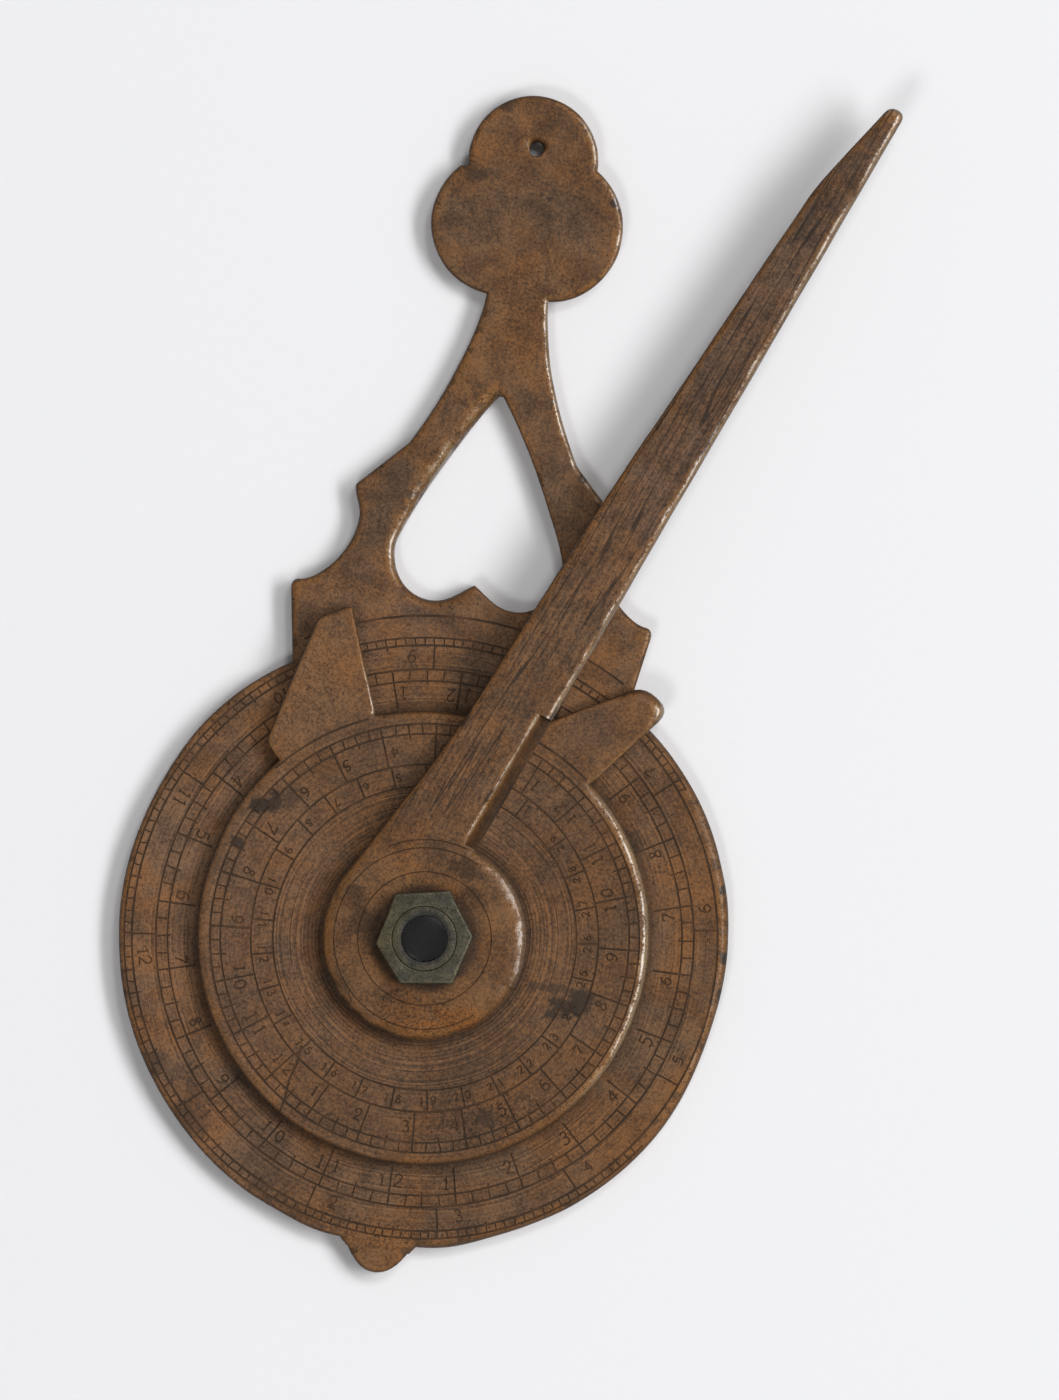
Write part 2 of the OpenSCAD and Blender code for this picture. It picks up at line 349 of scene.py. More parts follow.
def from_edge(points, loops):
    """Each point's distance from the nearest loop, which loop that is, and the way out of the wood."""
    nearest = np.full(len(points), np.inf)
    which = np.zeros(len(points), int)
    outward = np.zeros((len(points), 2))
    for k, loop in enumerate(loops):
        along = np.roll(loop, -1, 0) - loop
        length2 = (along ** 2).sum(1)
        out = unit(np.stack([along[:, 1], -along[:, 0]], 1))
        for part in np.array_split(np.arange(len(points)), len(points) // AT_ONCE + 1):
            away = points[part, None] - loop[None]
            t = np.clip((away * along).sum(2) / length2, 0, 1)
            d2 = ((away - t[..., None] * along) ** 2).sum(2)
            side = d2.argmin(1)
            d = np.sqrt(d2[np.arange(len(part)), side])
            closer = d < nearest[part]
            nearest[part[closer]] = d[closer]
            which[part[closer]] = k
            outward[part[closer]] = out[side[closer]]
    return nearest, which, outward


def grid_points(loops):
    """Scattered points over the wood, clear of its edges."""
    low, high = loops[0].min(0), loops[0].max(0)
    x, y = np.meshgrid(np.arange(low[0], high[0], GRID), np.arange(low[1], high[1], GRID))
    points = np.stack([x.ravel(), y.ravel()], 1)
    points += rng.uniform(-GRID_STRAY, GRID_STRAY, points.shape) * GRID
    return points[from_edge(points, loops)[0] > GRID_CLEAR]


# Marks cut into the wood, each a pair of outlines: its edge on the surface and its floor


def band(path, half, ends):
    """Outline round a path, half its width on either side, with its ends moved out."""
    ahead = unit(np.gradient(path, axis=0))
    path = path.copy()
    path[0] -= ahead[0] * ends
    path[-1] += ahead[-1] * ends
    side = np.stack([-ahead[:, 1], ahead[:, 0]], 1) * half
    return anticlockwise(np.concatenate([path + side, (path - side)[::-1]]))


def groove(path, width):
    return band(path, width / 2, 0.0), band(path, width / 2 - LIP, -LIP)


def tick(clockwise, start, end, width=TICK_W):
    """Radial line with the slight slips of a hand-held graver."""
    slip = rng.normal(0, SLIP_TURN, 2)
    ends = polar(np.array([start, end]), clockwise + slip) + rng.normal(0, SLIP, (2, 2))
    return [groove(ends, width)]


def ring(radius, start=0.0, end=360.0, width=LINE_W):
    """Turned line, a whole ring in two halves or an arc."""
    parts = 2 if end - start > 200 else 1
    bounds = np.linspace(start, end, parts + 1)
    lap = 0.5 if parts == 2 else 0.0
    return [groove(polar(radius, np.arange(a - lap, b + lap + 0.01, 1.5)), width)
            for a, b in zip(bounds, bounds[1:])]


# Strokes of the figures, in a box of width 0.6 and height 1
SIX = [[(.48, .94), (.26, .86), (.10, .60), (.06, .30), (.16, .06), (.32, .00)],
       [(.28, .00), (.48, .10), (.54, .30), (.44, .50), (.28, .56), (.10, .42)]]
FIGURES = {
    "0": [[(.32, 1.0), (.10, .82), (.04, .50), (.10, .18), (.30, .00)],
          [(.26, 1.0), (.50, .85), (.56, .50), (.50, .15), (.26, .00)]],
    "1": [[(.12, .80), (.22, .88), (.30, 1.0)], [(.30, 1.0), (.31, .50), (.30, .00)],
          [(.16, .00), (.44, .00)]],
    "2": [[(.06, .74), (.12, .93), (.30, 1.0), (.48, .90), (.50, .68), (.36, .42), (.16, .20), (.04, .03)],
          [(.04, .02), (.30, .06), (.58, .00)]],
    "3": [[(.08, .86), (.24, 1.0), (.44, .92), (.48, .74), (.38, .58), (.20, .54)],
          [(.22, .54), (.44, .50), (.54, .30), (.46, .08), (.26, .00), (.06, .12)]],
    "4": [[(.40, 1.0), (.20, .62), (.02, .30)], [(.02, .30), (.30, .31), (.58, .30)],
          [(.40, 1.0), (.41, .50), (.40, .00)]],
    "5": [[(.52, 1.0), (.32, .98), (.14, 1.0)], [(.14, 1.0), (.12, .80), (.10, .56)],
          [(.10, .57), (.30, .64), (.50, .52), (.54, .28), (.42, .06), (.22, .00), (.04, .12)]],
    "6": SIX,
    "7": [[(.04, .80), (.06, .98), (.30, .97), (.56, 1.0)],
          [(.56, 1.0), (.38, .60), (.26, .30), (.22, .00)]],
    "8": [[(.46, .86), (.30, 1.0), (.14, .88), (.14, .70), (.30, .54),
           (.46, .38), (.52, .20), (.42, .04), (.26, .00)],
          [(.32, .00), (.10, .06), (.06, .24), (.16, .42), (.30, .54),
           (.44, .66), (.48, .82), (.40, .95), (.28, 1.0)]],
    "9": [[(.60 - x, 1 - y) for x, y in stroke] for stroke in SIX],
}


def flowing(points, steps=3):
    """A smooth path through given points."""
    p = np.array(points, float)
    if len(p) < 3:
        return p
    p = np.concatenate([2 * p[:1] - p[1:2], p, 2 * p[-1:] - p[-2:-1]])
    t = np.linspace(0, 1, steps, endpoint=False)[:, None]
    path = []
    for a, b, c, d in zip(p, p[1:], p[2:], p[3:]):
        bend = (2 * a - 5 * b + 4 * c - d) * t ** 2 + (3 * b - a - 3 * c + d) * t ** 3
        path.append(0.5 * (2 * b + (c - a) * t + bend))
    return np.concatenate(path + [p[-2:-1]])


def number(value, clockwise, radius, height, beside, pen=PEN_W):
    """Figures at a line of a scale, their tops towards the pivot and running anticlockwise.

    Two figures stand on either side of the line, and one stands on its clockwise side.
    """
    figures = str(value)
    centres = (-beside, beside) if len(figures) == 2 else (-beside,)
    marks = []
    for figure, centre in zip(figures, centres):
        size = height * rng.uniform(*FIGURE_SIZES)
        lean = rng.uniform(*FIGURE_LEANS)
        sink = rng.normal(0, FIGURE_SINK * height)
        for stroke in FIGURES[figure]:
            x, y = flowing(stroke).T
            across = centre + size * (FIGURE_BREADTH * (x - 0.3) + lean * (y - 0.5))
            path = polar(radius + sink - size * (y - 0.5), clockwise - np.degrees(across / radius))
            marks.append(groove(path, pen))
    return marks


def hour_scale(twelve, span, foot, half_reach, figures):
    """Twice twelve hours with their figures, running anticlockwise, and ticks at the quarters."""
    marks = []
    for quarter in range(QUARTERS):
        angle = twelve - 360 / QUARTERS * quarter
        if quarter % 4 == 0:
            hour = (quarter // 4 - 1) % 12 + 1
            marks += tick(angle, span[0], foot)
            marks += number(hour, angle, *figures)
        else:
            reach = half_reach if quarter % 2 == 0 else 0
            marks += tick(angle, span[0], span[1] - reach, DAY_W)
    return marks


# Solid pieces


def carve(name, loops, low, top, edge, rub, marks=(), surface=None, lines=(), worn_and_lit=None, foot=FOOT,
          steps=EDGE_STEPS, bevel=BEVEL, grit=None, recess=None):
    """A flat piece between two levels, with eased edges, engraved marks and a closed, plain underside.

    edge(points, loop numbers) gives the width and the fall of the eased upper edge, and grit(points) says
    how rough it is. bevel is the share and the power of the edge's slope before it rounds off. rub is the
    angle that the most rubbed edges face, towards the lamp, with the least and the greatest rub; edges that
    face it carry real rub and a painted highlight. surface(points) gives the height of the upper side
    before that, where it isn't flat, and lines are paths that it bends along. A callback for wear and
    painted highlight, given the points and their traits, may change what the finish reads: each point's
    share of the way in from an edge, its darkening and its rub with painted highlight. foot is the width
    and the rise of the eased lower edge, and recess is the radius and the depth of a round recess in the
    underside.
    """
    plan = Plan()
    shape = [plan.outline(loop) for loop in loops]
    rim_faces, floor_faces = set(), set()
    for rim, floor in marks:
        rim_faces.add(plan.outline(rim))
        floor_faces.add(plan.outline(floor))
    for k, loop in enumerate(loops):
        width, _ = edge(loop, np.full(len(loop), k))
        for share in steps:
            plan.line(inset(loop, share * width), closed=True)
    for path in lines:
        plan.line(path)
    plan.scatter(grid_points(loops))
    places, faces, _, over = plan.triangles()
    kept = [k for k, o in enumerate(over) if shape[0] in o and not o.intersection(shape[1:])]
    faces, over = [faces[k] for k in kept], [over[k] for k in kept]
    used = sorted({i for f in faces for i in f})
    renumber = {old: new for new, old in enumerate(used)}
    places, faces = places[used], [[renumber[i] for i in f] for f in faces]

    # The upper side: eased edges, worn nicks, a slight waviness and the sunk marks
    away, which, outward = from_edge(places, loops)
    width, fall = edge(places, which)
    waver = 1 + EDGE_WAVER * ripple(places, EDGE_WAVER_SIZE, 1.5)
    out = 1 - np.clip(away / (width * waver), 0, 1)
    slope, power = bevel
    drop = fall * waver * (slope * out ** power + (1 - slope) * out ** ROUND_OFF)
    if grit is not None:
        drop += grit(places) * (1 + ripple(places, GRIT_SIZE, 9.5)) * smooth_step(0, GRIT_FADE, out)
    nick = np.clip(ripple(places, NICK_SIZE, 6.5) - NICK_RARITY, 0, 1) * fall * np.exp(-away / NICK_REACH)
    height = np.full(len(places), top - low) if surface is None else surface(places)
    height = np.minimum(height, top - low - drop - nick)
    height -= SWELL * (1 + ripple(places, SWELL_SIZE, 2.5)) * smooth_step(0, SWELL_FADE, away)
    inked = [bool(o & floor_faces) for o in over]
    sunk = np.zeros(len(places), bool)
    plain = np.zeros(len(places), bool)
    for f, o, is_floor in zip(faces, over, inked):
        if is_floor:
            sunk[f] = True
        elif not o & rim_faces:
            plain[f] = True
    sunk |= ~plain
    height -= sunk * ENGRAVE_DEPTH * (1 + DEPTH_STRAY * ripple(places, DEPTH_SIZE, 4.5))
    toward, least, most = rub
    # Edges facing the lamp get more rub and pale bare wood: real wear with a painted highlight.
    facing = smooth_step(-0.1, 1.0, outward @ polar(1.0, toward))
    traits = {"inward": np.minimum(away / width, FLAT_SHARE), "darkening": INKED_LIP * sunk,
              "rubbed_and_lit": least + (most - least) * facing}
    if worn_and_lit is not None:
        worn_and_lit(places, traits)
    return close_solid(name, places, faces, inked, height, traits, loops, low, foot, recess)


def close_solid(name, places, faces, inked, height, traits, loops, low, foot, recess):
    """Closes a carved upper side with walls and an underside, and makes the mesh object."""
    upper_loops = rims(faces)
    outer = max(upper_loops, key=lambda loop: np.ptp(places[loop][:, 0]))
    plan = Plan()
    shape = []
    given = []
    for loop in upper_loops:
        order = list(loop) if loop is outer else list(loop)[::-1]
        shape.append((plan.outline(places[order]), loop is outer))
        given.extend(order)
    foot_width, foot_rise = foot
    for loop in loops:
        for share in EDGE_STEPS:
            plan.line(inset(loop, np.full(len(loop), share * foot_width)), closed=True)
    plan.scatter(grid_points(loops))
    if recess:
        recess_r, depth = recess
        for radius in (recess_r, recess_r - STEEP):
            plan.line(circle(0, 0, radius, 120), closed=True)
    under, under_faces, sources, over = plan.triangles()
    solid = next(k for k, is_outer in shape if is_outer)
    gaps = {k for k, is_outer in shape if not is_outer}
    under_faces = [f for f, o in zip(under_faces, over) if solid in o and not o & gaps]
    away = from_edge(under, loops)[0]
    share = np.clip(away / foot_width, 0, 1)
    rise = foot_rise * (1 - np.sqrt(1 - (1 - share) ** 2))
    if recess:
        rise[np.hypot(*under.T) < recess_r - STEEP / 2] = depth

    used = sorted({i for f in under_faces for i in f})
    first = len(places)
    renumber = {old: first + new for new, old in enumerate(used)}
    below_of = {given[s]: renumber[i] for i in used for s in sources[i] if s < len(given)}
    walls = []
    for loop in upper_loops:
        for a, b in zip(loop, loop[1:] + loop[:1]):
            walls.append([below_of[a], below_of[b], b, a])
    corners = np.concatenate([
        np.column_stack([places, low + height]),
        np.column_stack([under[used], low + rise[used]]),
    ])
    below = {"inward": np.minimum(0.5 + away[used] / foot_width, FLAT_SHARE), "darkening": np.zeros(len(used)),
             "rubbed_and_lit": np.full(len(used), UNDER_RUB)}
    traits = {trait: np.concatenate([values, below[trait]]) for trait, values in traits.items()}
    shells = faces + [[renumber[i] for i in f[::-1]] for f in under_faces] + walls
    slots = [int(is_floor) for is_floor in inked] + [0] * (len(under_faces) + len(walls))
    return make_piece(name, corners, shells, slots, **traits)


def make_piece(name, corners, faces, slots, **traits):
    """A mesh object from corners in millimetres, with traits of its corners that its finish reads."""
    mesh = bpy.data.meshes.new(name)
    mesh.from_pydata((corners * MM).tolist(), [], faces)
    mesh.polygons.foreach_set("material_index", slots)
    mesh.polygons.foreach_set("use_smooth", [True] * len(faces))
    for trait, values in traits.items():
        mesh.attributes.new(trait, "FLOAT", "POINT").data.foreach_set("value", values.astype(np.float32))
    mesh.update()
    mesh.set_sharp_from_angle(angle=math.radians(SHARP_ANGLE))
    piece = bpy.data.objects.new(name, mesh)
    bpy.context.scene.collection.objects.link(piece)
    return piece


def lathe(name, profile, steps=128):
    """A turned piece from a closed profile of (radius, level) corners, in millimetres."""
    radius, level = np.array(profile, float).T
    count = len(profile)
    angles = np.arange(steps) * 2 * math.pi / steps
    corners = np.concatenate([
        np.column_stack([radius * math.cos(a), radius * math.sin(a), level]) for a in angles])
    faces = []
    for s in range(steps):
        here, there = s * count, (s + 1) % steps * count
        for i in range(count):
            j = (i + 1) % count
            faces.append([here + i, there + i, there + j, here + j])
    return make_piece(name, corners, faces, [0] * len(faces), inward=np.full(len(corners), FLAT_SHARE))


def dress(piece, body, node, slot, *materials):
    """Puts a finished piece in the place of its node."""
    for material in materials:
        piece.data.materials.append(material)
    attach(piece, body)
    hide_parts(node)
    return piece


# Width and fall of the eased edge round a bore
BORE_EDGE = (0.15, 0.1)


def by_loop(loop, *edges):
    """Width and fall of the eased edge at each point, from one pair for each loop."""
    return [np.choose(loop, sizes) for sizes in zip(*edges)]


# Dial plate


def handle_side():
    """Right side of the shouldered handle, from inside the dial up into the trefoil.

    Here and in the next two outlines the curves' handles are shares of the spans that they bridge.
    """
    foot_x = SHOULDER_W / 2 - FLANK_TAPER
    foot = (foot_x, math.sqrt(DIAL_R ** 2 - foot_x ** 2) - BOND, 0)
    flank = rounded([foot, (SHOULDER_W / 2, SHOULDER_Y, SHOULDER_ROUND), (0, SHOULDER_Y, 0)])[:-1]
    shoulder = np.array([SHOULDER_W / 2 - SHOULDER_ROUND, SHOULDER_Y])
    sweep = shoulder - WAIST
    rise = EAR[1] - WAIST[1]
    flare = EAR_ROOT - NECK
    up = np.array([0.0, 1.0])
    return np.concatenate([
        flank,
        curve(shoulder, shoulder - sweep * (0.33, 0.05), WAIST + 0.55 * sweep[1] * up, WAIST)[1:],
        curve(WAIST, WAIST + 0.4 * rise * up, EAR - 0.4 * rise * up, EAR)[1:],
        curve(EAR_ROOT, EAR_ROOT - flare * (0.43, 0.26), NECK + 0.24 * flare[1] * up, NECK, 30),
        [(NECK[0], HANDLE_TOP)],
    ])


def heart_side():
    """Right side of the heart, from its cusp round the lobe to its point."""
    cusp = np.array([0, HEART_Y + HEART_CUSP])
    bottom = np.array([HEART_HALF / 2, HEART_Y])
    belly = np.array([HEART_HALF, HEART_Y + HEART_BELLY])
    point = np.array([0, HEART_Y + HEART_H])
    run = HEART_H - HEART_BELLY
    return np.concatenate([
        curve(cusp, np.array([0.16 * HEART_HALF, HEART_Y + 0.6 * HEART_CUSP]),
              np.array([0.28 * HEART_HALF, HEART_Y]), bottom, 12),
        curve(bottom, np.array([0.77 * HEART_HALF, HEART_Y]), belly - (0, 0.6 * HEART_BELLY), belly)[1:],
        curve(belly, belly + (0, 0.12 * run), point + (0.32 * HEART_HALF, -0.2 * run), point, 40)[1:-1],
    ])


def nub_side():
    """Right side of the nub, from inside the dial to its tip."""
    half = NUB_W / 2
    rim_y = math.sqrt(DIAL_R ** 2 - half ** 2)
    tip_y = DIAL_R + NUB_REACH
    return np.concatenate([
        [(half, BOND - rim_y)],
        curve(np.array([half, -rim_y]), np.array([0.8 * half, -rim_y - 0.25 * NUB_REACH]),
              np.array([0.58 * half, -tip_y]), np.array([0, -tip_y])),
    ])


def both_sides(right):
    return np.concatenate([right, mirrored(right)])


# Dial's scales: the first line of each month, the bands of days and hours, and where the days are worn off
MONTH_LINES = {7: 49.9, 6: 80.4, 5: 112.2, 4: 140.8, 3: 169.5, 2: 195.6, 1: 227.6,
               12: 262.8, 11: 296.5, 10: 326.0, 9: 353.8, 8: 382.0}
DAY_BAND, HOUR_BAND, HOUR_FOOT = (59.0, 57.5), (52.8, 50.5), 45.3
DAY_LINES, FIFTH_REACH, HALF_REACH = 15, 0.7, 0.8
DAYS_WORN = (52.0, 126.0)

# Line on the shoulders: its radius, and how far it runs to each side
SHOULDER_LINE, SHOULDER_ARC = 63.3, 30

# Figures: radius, height and step to the side, and how far a month's figure stands past its line
MONTH_FIGURES, MONTH_SET = ((DAY_BAND[1] + HOUR_BAND[0]) / 2, 2.3, 0.9), 4.5
HOUR_FIGURES = (48.0, 2.4, 1.6)

# Stretches where the dial's edge is worn or stands out
DIAL_FLATS = ((100, 17, -1.0, 61), (48, 12, 0.3, 61), (169, 8, 0.8, 62), (191, 7, 0.6, 62),
              (206, 20, 0.7, 61), (311, 13, 0.6, 61))

# Places where the handle isn't symmetrical: where, how far round, and how far to the right and up
HANDLE_PULLS = ((6.2, 124.0, 9.0, 0.7, 0.0),)

# Angle that the plate's most rubbed edges face, towards the lamp, the least and the greatest rub, and what
# the handle adds; edges facing the lamp carry a painted highlight
PLATE_RUB, HANDLE_RUB_AND_HIGHLIGHT = (85, 0.5, 0.91), 0.09


def plate_marks():
    worn_from, worn_to = DAYS_WORN
    marks = ring(DAY_BAND[0], worn_to, worn_from + 360, TICK_W) + ring(DAY_BAND[1])
    marks += ring(HOUR_BAND[0]) + ring(HOUR_BAND[1], width=TICK_W)
    marks += ring(SHOULDER_LINE, -SHOULDER_ARC, SHOULDER_ARC)
    starts = [*MONTH_LINES.values(), MONTH_LINES[8] - 360]
    radius, height, beside = MONTH_FIGURES
    for month, start in MONTH_LINES.items():
        marks += tick(start, DAY_BAND[1], HOUR_BAND[0])
        marks += number(month, start - MONTH_SET, radius, height, beside if month > 9 else 0)
        last = max(line for line in starts if line < start)
        for k in range(DAY_LINES):
            angle = start + (last - start) * k / DAY_LINES
            reach = FIFTH_REACH if k % 5 == 0 else 0.0
            if not worn_from < angle < worn_to:
                marks += tick(angle, DAY_BAND[0], DAY_BAND[1] - reach, DAY_W)
    return marks + hour_scale(0.0, HOUR_BAND, HOUR_FOOT, HALF_REACH, HOUR_FIGURES)


def plate_edge(points, loop):
    """Well rounded round the dial, eased along the handle, bevelled on the lit side of the heart."""
    x, y = points.T
    on_dial = 1 - smooth_step(DIAL_R + 0.8, DIAL_R + 2.0, np.hypot(x, y))
    fuller = on_dial * smooth_step(-20.0, 20.0, x)
    lit_side = smooth_step(2.0, -2.0, x)
    broad = lit_side * smooth_step(HEART_Y + HEART_BELLY, HEART_Y + 0.6 * HEART_H, y)
    torn = smooth_step(HANG_HOLE_Y - 0.3, HANG_HOLE_Y + HANG_HOLE_R, y)
    rim = 1.2 + 0.8 * fuller, 0.75 + 0.55 * fuller
    heart = 0.7 + 1.2 * lit_side + 1.2 * broad, 0.5 + 0.8 * lit_side + 1.0 * broad
    hole = 0.3 + 1.3 * torn, 0.3 + 1.6 * torn
    return by_loop(loop, rim, heart, BORE_EDGE, hole)


def handle_wear(points, traits):
    """The handle's lit edges are rubbed more than the dial's, and carry more painted highlight."""
    traits["rubbed_and_lit"] *= 1 + HANDLE_RUB_AND_HIGHLIGHT * smooth_step(DIAL_R + 2, DIAL_R + 8, points[:, 1])


def make_plate(boxwood, ink):
    low, top = z_span("body_plate")
    bore_r = TUBE_R + SEAT_CLEAR
    loops = trace(
        [circle(0, 0, DIAL_R, 480), both_sides(handle_side()), both_sides(nub_side()) - (NUB_SHIFT, 0),
         *[circle(*lobe, 110) for lobe in LOBES], circle(*CROWN, 100)],
        [both_sides(heart_side()), circle(0, HANG_HOLE_Y, HANG_HOLE_R, 28), circle(0, 0, bore_r, 64),
         circle(*NOTCH, 20)])
    loops[0], loops[1] = hand_cut(loops[0], flats=DIAL_FLATS, pulls=HANDLE_PULLS), hand_cut(loops[1])
    piece = carve("engraved_dial_plate", loops, low, top, plate_edge, PLATE_RUB, plate_marks(),
                  worn_and_lit=handle_wear, recess=(FLANGE_R + SEAT_CLEAR, FLANGE_T + SEAT_CLEAR))
    return dress(piece, "body", "body_plate", "plate_wood", boxwood, ink)


# Hour disc


def pointer(angle, reach, tip, fall, tip_round, back, heel):
    """Pointer with a straight radial edge on its clockwise side."""
    foot_y = 0.7 * HOUR_R
    return turned(rounded([
        (0, foot_y, 0),
        (0, HOUR_R + reach, tip_round),
        (-tip, HOUR_R + reach - fall, tip_round),
        (-back, HOUR_R - heel, HEEL_ROUND),
        (-0.75 * back, foot_y, 0),
    ]), angle)


# Disc's scales: the line of twelve, the bands of hours and of the moon's days, and the days' drift
DISC_TWELVE = 40.3
DISC_TICKS, DISC_HALF_REACH = (42.1, 40.1), 1.0
MOON_BAND, MOON_DAYS, LAST_DAY, MOON_DRIFT = (34.1, 29.8), 29.5, 29, 2.8

# Figures: radius, height and step to the side, and the pen of the moon's days
DISC_FIGURES, MOON_FIGURES = (37.0, 2.2, 1.55), (31.9, 1.5, 1.15, 0.29)

# Lines across the pointers' feet: each pointer's angle and how far the line runs from it
FOOT_LINES = ((LONG_POINTER[0], 29), (SHORT_POINTER[0], 21))

# Crack, as radius and angle from the rim inwards
CRACK = ((44.4, 211.8), (41.5, 213.2), (38.2, 215.8), (35.0, 217.6), (32.0, 221.0))

# Stretches where the disc's edge is worn or stands out, and the rub of its edges, most where they face the
# lamp, with a painted highlight
DISC_FLATS = ((105, 40, -0.5, 45), (318, 25, 0.7, 45))
DISC_RUB = (85, 0.5, 1.0)


def disc_marks():
    marks = []
    for radius in (*DISC_TICKS, *MOON_BAND):
        marks += ring(radius, width=TICK_W)
    for angle, run in FOOT_LINES:
        marks += ring(HOUR_R - 0.1, angle - run, angle - 0.6)
    marks += hour_scale(DISC_TWELVE, DISC_TICKS, MOON_BAND[0], DISC_HALF_REACH, DISC_FIGURES)
    for day in range(1, LAST_DAY + 1):
        uneven = MOON_DRIFT * math.sin(math.pi * day / LAST_DAY)
        angle = DISC_TWELVE - 360 / MOON_DAYS * day + uneven
        marks += tick(angle, *MOON_BAND)
        marks += number(day, angle, *MOON_FIGURES)
    marks.append(groove(flowing([polar(*place) for place in CRACK]), LINE_W))
    return marks


def disc_edge(points, loop):
    """Worn round the disc, crisper along the pointers, and soft at the short pointer's tip."""
    x, y = points.T
    radius = np.hypot(x, y)
    on_disc = 1 - smooth_step(HOUR_R + 0.5, HOUR_R + 1.5, radius)
    on_disc *= 0.5 + 0.5 * smooth_step(-30.0, 30.0, x)
    soft_tip = smooth_step(HOUR_R + 13, HOUR_R + 20, radius) * (x > 0)
    rim = 0.7 + 1.2 * on_disc + 1.8 * soft_tip, 0.5 + 0.7 * on_disc + 1.2 * soft_tip
    return by_loop(loop, rim, BORE_EDGE)


def pointer_wear(points, traits):
    """The long pointer's edge is rubbed less and less towards its tip, and its painted highlight fades with
    it.
    """
    left = points[:, 0] < 0
    outer = smooth_step(HOUR_R + 4, HOUR_R + 18, np.hypot(*points.T)) * left
    traits["rubbed_and_lit"] *= 1 - 0.04 * left - 0.08 * outer


def make_hour_disc(boxwood, ink):
    low, top = z_span("hour_disc")
    loops = trace(
        [circle(0, 0, HOUR_R, 360), pointer(*LONG_POINTER), pointer(*SHORT_POINTER)],
        [circle(0, 0, TUBE_R + RUNNING_CLEAR, 64)])
    loops[0] = hand_cut(loops[0], flats=DISC_FLATS)
    piece = carve("engraved_hour_disc", loops, low, top, disc_edge, DISC_RUB, disc_marks(),
                  worn_and_lit=pointer_wear, foot=THIN_FOOT)
    return dress(piece, "hour_disc", "hour_disc", "disc_wood", boxwood, ink)


# Index arm


# Waver of the arm's outline, stretches where the hub's edge is chipped away, and the rub of the arm's
# edges, most where they face the lamp, with a painted highlight
ARM_WAVER = 0.09
HUB_FLATS = ((197, 5, -0.3, 21), (214, 4, -0.35, 21), (224, 3, -0.2, 21), (238, 5, -0.3, 21),
             (152, 6, -0.2, 21))
ARM_RUB = (70, 0.8, 0.935)

# Radii of the lines round the nut, near the hub's edge and across the foot of the blade
NUT_LINE, HUB_LINE, BLADE_LINE = 13.1, 17.8, 19.4

# Fall of the cove's upper lip, the edge widths inward that its wear starts at, and how much the hollow is
# darkened
LIP_FALL, LIP_INWARD, COVE_DARKENING = 0.6, 0.45, 0.55

# Roughness of the arm's edges, and the share of it that is left along the blade
ARM_GRIT, BLADE_GRIT = 0.06, 0.03


def hub_tangent(x, y):
    """Where a straight edge from a point on the left touches the hub."""
    angle = math.atan2(y, -x) - math.acos(HUB_R / math.hypot(x, y))
    return -HUB_R * math.cos(angle), HUB_R * math.sin(angle)


def blade():
    """Outline of the blade before it is turned to its angle."""
    return rounded([
        (0, 0, 0),
        (0, ARM_REACH, TIP_W / 2),
        (-TIP_W, ARM_REACH, TIP_W / 2),
        (-TIP_ROOT_W, ARM_REACH - TIP_L, TIP_L / 5),
        (-BELLY_W, BELLY_Y, BLADE_BEND),
        (-ROOT_W, ROOT_Y, BLADE_BEND),
        (*hub_tangent(-ROOT_W, ROOT_Y), 0),
        (-HUB_R / 2, 0, 0),
    ])


def arm_surface(thickness):
    """Height of the arm's upper side: flat, with the hollow cove along the reading edge up to the notch."""
    fall = thickness - COVE_EDGE
    chord = math.hypot(COVE_SET, fall)
    lift = math.sqrt(COVE_R ** 2 - chord ** 2 / 4)
    axis_x = (lift * fall - chord * COVE_SET / 2) / chord
    axis_z = (lift * COVE_SET + chord * (COVE_EDGE + thickness) / 2) / chord

    def height(points):
        x, y = turned(points, -ARM_ANGLE).T
        hollow = axis_z - np.sqrt(np.maximum(COVE_R ** 2 - (x - axis_x) ** 2, 0))
        in_cove = (y > 0) & (y < COVE_END) & (x > -COVE_SET) & (np.hypot(x, y) > HUB_R + 0.02)
        lip = np.clip((-COVE_SET - x) / COVE_LIP, 0, 1)
        along = smooth_step(HUB_R - 1, HUB_R + 2, y) * (y < COVE_END)
        rounding = (1 - np.sqrt(1 - (1 - lip) ** 2)) * (x > -COVE_SET - COVE_LIP)
        lower = np.minimum(hollow, thickness - LIP_FALL)
        return np.where(in_cove, lower, thickness - LIP_FALL * along * rounding)

    return height


def cove_wear(points, traits):
    """The cove's upper edge is rubbed as an outer edge is, the reading edge gets full rub with a painted
    highlight, and the hollow is darkened.
    """
    inward = traits["inward"]
    x, y = turned(points, -ARM_ANGLE).T
    along = smooth_step(HUB_R - 3, HUB_R, y) * (y < COVE_END + 0.02)
    lip = LIP_INWARD + np.abs(x + COVE_SET + 0.3) / COVE_LIP
    in_cove = (along > 0) & (x > -COVE_SET) & (np.hypot(x, y) > HUB_R)
    nearer = np.minimum(inward, lip + FLAT_SHARE * (1 - along))
    inward = np.where(in_cove, lip, np.where(along > 0, nearer, inward))
    traits["inward"] = np.minimum(inward, FLAT_SHARE)
    # The reading edge faces the lamp: full rub and a painted highlight.
    reading = smooth_step(HUB_R - 1, HUB_R + 3, y) * smooth_step(-6.0, -3.0, x)
    traits["rubbed_and_lit"] = np.maximum(traits["rubbed_and_lit"], reading)
    # The hollow is darkened, except near its upper lip.
    hollow_darkening = COVE_DARKENING * in_cove * smooth_step(-COVE_SET + 0.1, -COVE_SET + 0.9, x)
    traits["darkening"] = np.maximum(traits["darkening"], hollow_darkening)


